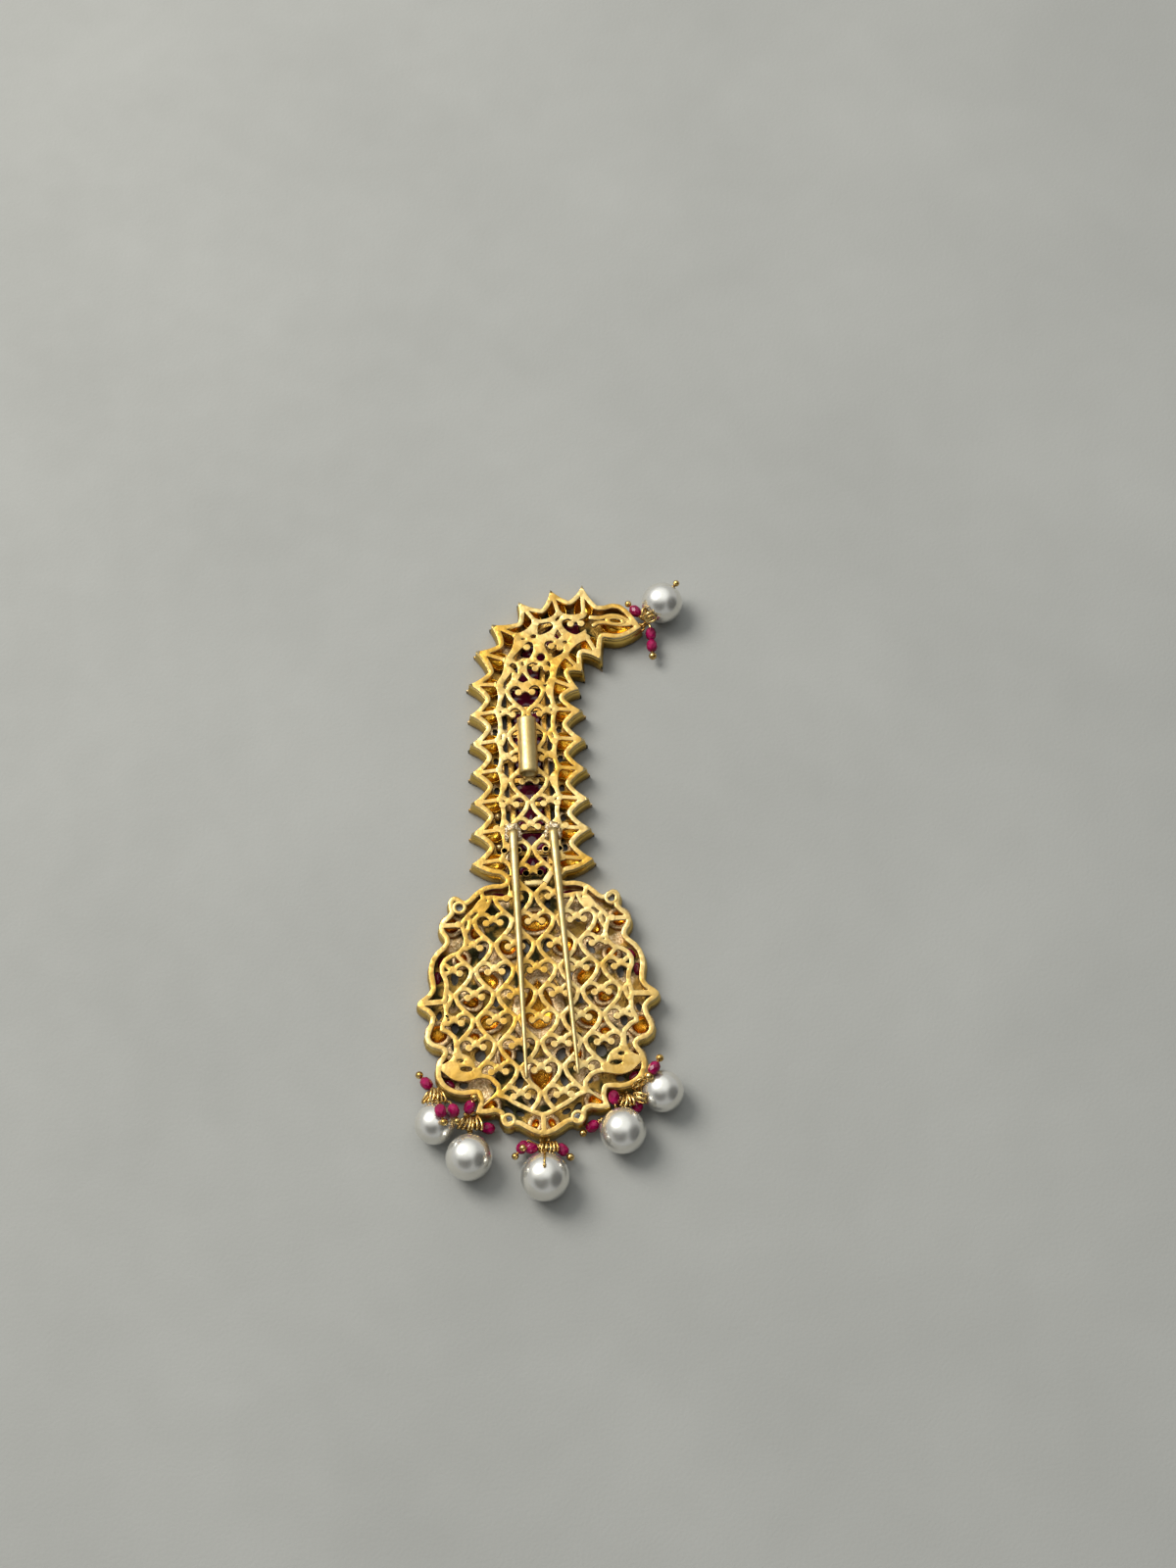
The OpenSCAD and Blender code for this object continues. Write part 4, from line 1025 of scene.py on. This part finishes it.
def lump(name, centre, size, rough, grain, seed, material):
    """A lump of solder: a flattened ball with a rough surface."""
    bm = bmesh.new()
    bmesh.ops.create_icosphere(bm, subdivisions=4, radius=1)
    for v in bm.verts:
        place = Vector((v.co.x * size[0], v.co.y * size[1], v.co.z * size[2]))
        lift = rough * noise.fractal(place / grain + Vector((seed, 0, 0)), 1.0, 2.0, 3)
        v.co = place * (1 + lift / max(place.length, LUMP_CORE))
    bm.transform(Matrix.Translation(here(centre)) @ Matrix.Scale(MM, 4))
    settle(from_bmesh(name, bm), [material])


def make_pins(gold, joint):
    """The two tapered pins, each with the lumps of solder at its root."""
    for number, (root, end) in enumerate(zip(PIN_ROOTS, PIN_ENDS), 1):
        b = Builder()
        shares = [j / PIN_STEPS for j in range(PIN_STEPS + 1)]
        points = [Vector(root).lerp(Vector(end), share) for share in shares]
        radii = [(PIN_R[0] + (PIN_R[1] - PIN_R[0]) * share) * MM for share in shares]
        tip = Vector(end) + PIN_POINT * (Vector(end) - Vector(root)).normalized()
        b.tube([here(p) for p in points + [tip]], radii + [PIN_POINT_R * MM], PIN_SIDES)
        settle(b.done(f"turban_pin_{number}"), [gold])
        for name, (dx, dy, z), size, rough, grain, seed in PIN_LUMPS:
            place = (root[0] + dx, root[1] + dy, z)
            lump(f"{name}_{number}", place, size, rough, grain, number + seed, joint)


def make_tag(gold):
    """The small blank tag at the neck."""
    bm = block(TAG_SIZE, TAG_ROUND, 2, 0.6)
    bm.transform(Matrix.Translation(here(TAG)) @ Matrix.Rotation(TAG_TURN, 4, "Z"))
    settle(from_bmesh("tag", bm), [gold])


# Drops

def heading(k):
    """The direction in which a drop hangs out of the wall."""
    a = math.radians(HOOKS[k][2])
    return Vector((math.cos(a), math.sin(a), 0))


def hook_centre(k):
    """The middle of the ring on a drop's hook."""
    return Vector((HOOKS[k][0], HOOKS[k][1], HOOK_Z)) + HOOK_OUT * heading(k)


def hub(k):
    """The place where all wires of a drop meet."""
    return hook_centre(k) + (LINK_PLAY + 2 * RING_R) * heading(k) + HUB_LIFT * UP


def pearl_radius(k):
    """A pearl's radius in millimetres, from its solid."""
    low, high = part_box(f"pearl_{k + 1}")
    return (high.x - low.x) / 2 / MM


def wire_start(i):
    """The last point of a bead's wire before the bead."""
    return Vector(ROUTES[i][-1]) if i in ROUTES else hub(BEAD_DROPS[i - 1] - 1)


def make_pearl(k, material):
    """A slightly uneven pearl, just inside its solid, with its poles on the pin."""
    node = f"pearl_{k + 1}"
    bm = bmesh.new()
    bmesh.ops.create_uvsphere(bm, u_segments=56, v_segments=36, radius=pearl_radius(k) * MM)
    for v in bm.verts:
        place = v.co / (PEARL_WAVE_LENGTH * MM) + Vector((3 * k, 0, 0))
        v.co *= 1 - PEARL_WAVE * (1 + noise.noise(place))
    turn = (middle(node) - hub(k)).to_track_quat("Z", "Y").to_matrix().to_4x4()
    bm.transform(Matrix.Translation(here(middle(node))) @ turn)
    pearl = settle(from_bmesh(f"pearl_bead_{k + 1}", bm), [material])
    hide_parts(node)


def make_bead(i, material):
    """A faceted ruby bead on its wire; every other ring of facets is turned by half a facet."""
    centre = middle(f"ruby_{i}")
    turn = (centre - wire_start(i)).to_track_quat("Z", "Y")
    bm = bmesh.new()
    rings = []
    for level, (z, r) in enumerate(BEAD_RINGS):
        start = level % 2 * math.pi / BEAD_SIDES + BEAD_TURN * i
        rings.append([
            bm.verts.new(here(centre + turn @ Vector((r * math.cos(a + start), r * math.sin(a + start), z))))
            for a in circle(BEAD_SIDES)])
    bm.faces.new(list(reversed(rings[0])))
    bm.faces.new(rings[-1])
    for level, (a, b) in enumerate(zip(rings, rings[1:])):
        for j in range(BEAD_SIDES):
            k = (j + 1) % BEAD_SIDES
            if level % 2 == 0:
                bm.faces.new((a[j], a[k], b[j]))
                bm.faces.new((a[k], b[k], b[j]))
            else:
                bm.faces.new((a[j], b[k], b[j]))
                bm.faces.new((a[j], a[k], b[k]))
    bead = settle(from_bmesh(f"ruby_bead_{i}", bm, smooth=False), [material])
    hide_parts(f"ruby_{i}")


def clear_of_beads(points):
    """Whether a wire through these points stays out of every pearl and ruby bead."""
    balls = [(middle(f"pearl_{k + 1}"), pearl_radius(k)) for k in range(DROPS)]
    balls += [(middle(f"ruby_{i}"), BEAD_REACH) for i in range(1, RUBIES + 1)]
    return all((p - centre).length > reach + WIRE_R for p in points for centre, reach in balls)


def add_pin(b, k, start, pearl, along):
    """The link on the hook, and the pearl's pin with the windings before the pearl."""
    r = WIRE_R * MM
    b.ball(here(start), HUB_BALL * MM, 12)
    b.tube([here(start), here(start + LOOP_RISE * UP)], r)
    b.ring(here(hook_centre(k)), UP, RING_R * MM, r)
    b.ring(here(start - HUB_LIFT * UP - RING_R * heading(k)), heading(k).cross(UP), RING_R * MM, r)
    through = k + 1 == BORED_THROUGH
    far = pearl + along * (pearl_radius(k) + PEARL_PIN_OUT if through else PEARL_PIN_IN)
    b.tube([here(start), here(far)], r)
    if through:
        b.ball(here(far), PEARL_PIN_BALL * MM, slot=1)
    near = pearl - along * (pearl_radius(k) + PEARL_COIL_GAP)
    length, radius, wire_r, turns = PEARL_COIL
    b.coil(here(near - length * along), here(near), radius * MM, wire_r * MM, turns)


def strayed(angles, j, shift):
    """The angle of loop number j of a row, which strays from its middle along the row."""
    degrees, stray, pace = angles
    return math.radians(degrees + stray * math.sin(pace * j + shift))


def add_loops(b, k, row, flat):
    """A row of oval loops that lean up and roll over, and the wire through their middles."""
    number, size, width, spread = LOOPS[k]
    side = UP.cross(flat)
    core = [row]
    for j in range(number):
        across = j / (number - 1) - 0.5
        way = Matrix.Rotation(math.radians(spread * across), 3, "Z") @ flat
        lean = strayed(LOOP_LEAN, j, k)
        roll = strayed(LOOP_ROLL, j, 2 * k)
        reach = math.cos(lean) * way + math.sin(lean) * UP
        level = UP.cross(way)
        broad = math.cos(roll) * level + math.sin(roll) * reach.cross(level)
        for climb in LOOP_CLIMBS:
            centre = row + width * across * side + climb * UP
            loop = [
                centre + math.cos(a) * size * reach + math.sin(a) * LOOP_WIDTH * broad
                for a in circle(RING_STEPS)]
            if clear_of_beads(loop):
                b.tube([here(p) for p in loop], LOOP_THICK * WIRE_R * MM, closed=True)
                core.append(centre)
                break
    core.sort(key=side.dot)
    b.tube([here(p) for p in core], WIRE_R * MM)


def add_tail(b, k, row, pearl, flat):
    """The short wire that lies over a pearl, with a ball at its end."""
    reach = pearl_radius(k) + TAIL_BALL
    over = [
        pearl + reach * (-math.cos(a) * flat + math.sin(a) * UP) for a in map(math.radians, TAIL_ANGLES)]
    b.tube([here(row)] + [here(p) for p in over], WIRE_R * MM)
    b.ball(here(over[-1]), TAIL_BALL * MM, 12, slot=1)


def add_bead_wire(b, i, start):
    """The wire from the hub through a ruby bead, with the windings before it and the ball after it."""
    centre = middle(f"ruby_{i}")
    last = wire_start(i)
    out = (centre - last).normalized()
    ball_r = BEAD_BALLS[i - 1]
    tip = centre + out * (BEAD_HALF + (ball_r + BEAD_BALL_GAP if ball_r else -BEAD_WIRE_IN))
    route = [start] + [Vector(p) for p in ROUTES.get(i, [])]
    b.tube([here(p) for p in route + [centre, tip]], WIRE_R * MM)
    gap = (centre - last).length - BEAD_HALF
    if gap > COIL_ROOM:
        length, radius, wire_r, turns = BEAD_COIL
        first = last + out * max(gap - length, COIL_START)
        b.coil(here(first), here(last + out * gap), radius * MM, wire_r * MM, turns)
    if ball_r:
        b.ball(here(tip), ball_r * MM, slot=1)


def make_wires(k, wire, ball):
    """One drop's wires: the link on its hook, the pearl's pin and loops, and the beads' wires."""
    start = hub(k)
    pearl = middle(f"pearl_{k + 1}")
    along = (pearl - start).normalized()
    flat = Vector((along.x, along.y, 0)).normalized()
    row = start + LOOP_RISE * UP
    b = Builder()
    add_pin(b, k, start, pearl, along)
    add_loops(b, k, row, flat)
    if k + 1 == TAIL_DROP:
        add_tail(b, k, row, pearl, flat)
    for i in range(1, RUBIES + 1):
        if BEAD_DROPS[i - 1] == k + 1:
            add_bead_wire(b, i, start)
    for drop, place, radius in WIRE_BALLS:
        if drop == k + 1:
            b.ball(here(place), radius * MM, slot=1)
    wires = settle(b.done(f"wires_{k + 1}"), [wire, ball])
    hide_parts(f"drop_wire_{k + 1}")


# The stage

# Light from all round
AMBIENT = 0.48
SKY_COLOUR = (0.95, 0.98, 1.0, 1)
# The parts of the sky that differ: direction, degrees from it where each starts and ends to fade, strength
WINDOWS = (
    ((-0.22, 0.4, 0.89), 22, 60, 0.74),
    ((-0.31, -0.55, 0.77), 16, 45, -0.41),
    ((0.82, -0.31, 0.42), 16, 44, -0.41))
# The lamp: name, place in metres, size, power, colour
KEY_LIGHT = ("key", (-0.6, 0.5, 0.9), 0.6, 14, (1.0, 0.98, 0.95))
# Half the floor's width in metres
FLOOR_HALF = 3.0


def make_floor():
    """A wide plane at the height of the solids' lowest point."""
    low = CAD_BOX[0][2]
    corners = [(x * FLOOR_HALF, y * FLOOR_HALF, low) for x, y in ((-1, -1), (1, -1), (1, 1), (-1, 1))]
    mesh = bpy.data.meshes.new("floor")
    mesh.from_pydata(corners, [], [(0, 1, 2, 3)])
    floor = add_object("floor", mesh)
    wear(floor, floor_finish())


def make_light(name, place, size, power, colour):
    """A square lamp that shines at the ornament."""
    light = bpy.data.lights.new(name, "AREA")
    light.size = size
    light.energy = power
    light.color = colour
    lamp = bpy.data.objects.new(name, light)
    lamp.location = place
    lamp.rotation_euler = (-Vector(place)).to_track_quat("-Z", "Y").to_euler()
    bpy.context.scene.collection.objects.link(lamp)


def make_world():
    """Even light with a broad soft window overhead, darker on the viewer's side and on the right."""
    world = bpy.data.worlds.new("studio")
    bpy.context.scene.world = world
    world.use_nodes = True
    tree = world.node_tree
    back = tree.nodes["Background"]
    back.inputs["Color"].default_value = SKY_COLOUR
    place = tree.nodes.new("ShaderNodeTexCoord").outputs["Generated"]
    total = None
    for direction, inner, outer, strength in WINDOWS:
        near = tree.nodes.new("ShaderNodeVectorMath")
        near.operation = "DOT_PRODUCT"
        near.inputs[1].default_value = Vector(direction).normalized()
        tree.links.new(place, near.inputs[0])
        part = tree.nodes.new("ShaderNodeMapRange")
        part.interpolation_type = "SMOOTHSTEP"
        values = (math.cos(math.radians(outer)), math.cos(math.radians(inner)), 0, strength)
        for socket, value in zip(("From Min", "From Max", "To Min", "To Max"), values):
            part.inputs[socket].default_value = value
        tree.links.new(near.outputs["Value"], part.inputs["Value"])
        add = tree.nodes.new("ShaderNodeMath")
        tree.links.new(part.outputs["Result"], add.inputs[0])
        add.inputs[1].default_value = AMBIENT
        if total:
            tree.links.new(total, add.inputs[1])
        total = add.outputs[0]
    tree.links.new(total, back.inputs["Strength"])


def make_camera():
    """The camera that took the photograph, as far as the photograph shows."""
    camera = bpy.data.cameras.new("camera")
    camera.lens = LENS
    camera.sensor_width = 36
    camera.clip_start = 0.01
    view = bpy.data.objects.new("camera", camera)
    view.rotation_euler = (VIEW_TILT, 0, -VIEW_LEAN)
    away = view.rotation_euler.to_matrix() @ Vector((0, 0, VIEW_DISTANCE))
    view.location = here(VIEW_CENTRE + away)
    bpy.context.scene.collection.objects.link(view)
    bpy.context.scene.camera = view


make_camera()
make_world()
make_light(*KEY_LIGHT)
make_floor()

bpy.context.scene.view_settings.view_transform = "Standard"

PALE = pale_gold()
SHEET_GOLD = sheet_gold()
SHEET_LINES = loops_at("back_grille", DEPTH - SHEET_T)
make_sheet(SHEET_LINES, SHEET_GOLD)
make_scrolls(SHEET_LINES, SHEET_GOLD)
make_wall_band(SHEET_LINES, wall_gold())
make_bowls(leaf_bowl_gold(), bowl_gold())
CLEAR = glass("clear_stone", (0.62, 0.66, 0.64), (0.80, 0.83, 0.80), 0.35)
make_eyes(SHEET_GOLD, CLEAR)
make_tip_eye(SHEET_GOLD)
make_neck(PALE)
make_socket(PALE)
make_pins(PALE, solder())
make_tag(PALE)
wear(NODES["front_frame"], frame_gold())

FOILED = glass("foiled_stone", (0.70, 0.16, 0.06), (0.80, 0.26, 0.10), 0.2)
for name in ("centre_stone", "leaf_stones", "base_stones"):
    wear(NODES[name], FOILED)
wear(NODES["clear_stones"], CLEAR)
DARK_RED = glass("dark_red_stone", (0.08, 0.004, 0.016), (0.13, 0.007, 0.03), 0.05)
BORDER_RED = glass("border_stone", (0.16, 0.001, 0.025), (0.24, 0.002, 0.045), 0.0)
wear(NODES["red_border_stones"], BORDER_RED)
make_red_backs(BORDER_RED)
for i in range(1, STEM_STONES + 1):
    wear(NODES[f"stem_stone_{i}"], DARK_RED)

NACRE = nacre()
WIRE = wire_gold()
BALL = ball_gold()
RUBY = glass("ruby", (0.16, 0.001, 0.028), (0.34, 0.002, 0.075), 0.1, 1.38)
for k in range(DROPS):
    make_pearl(k, NACRE)
    make_wires(k, WIRE, BALL)
for i in range(1, RUBIES + 1):
    make_bead(i, RUBY)
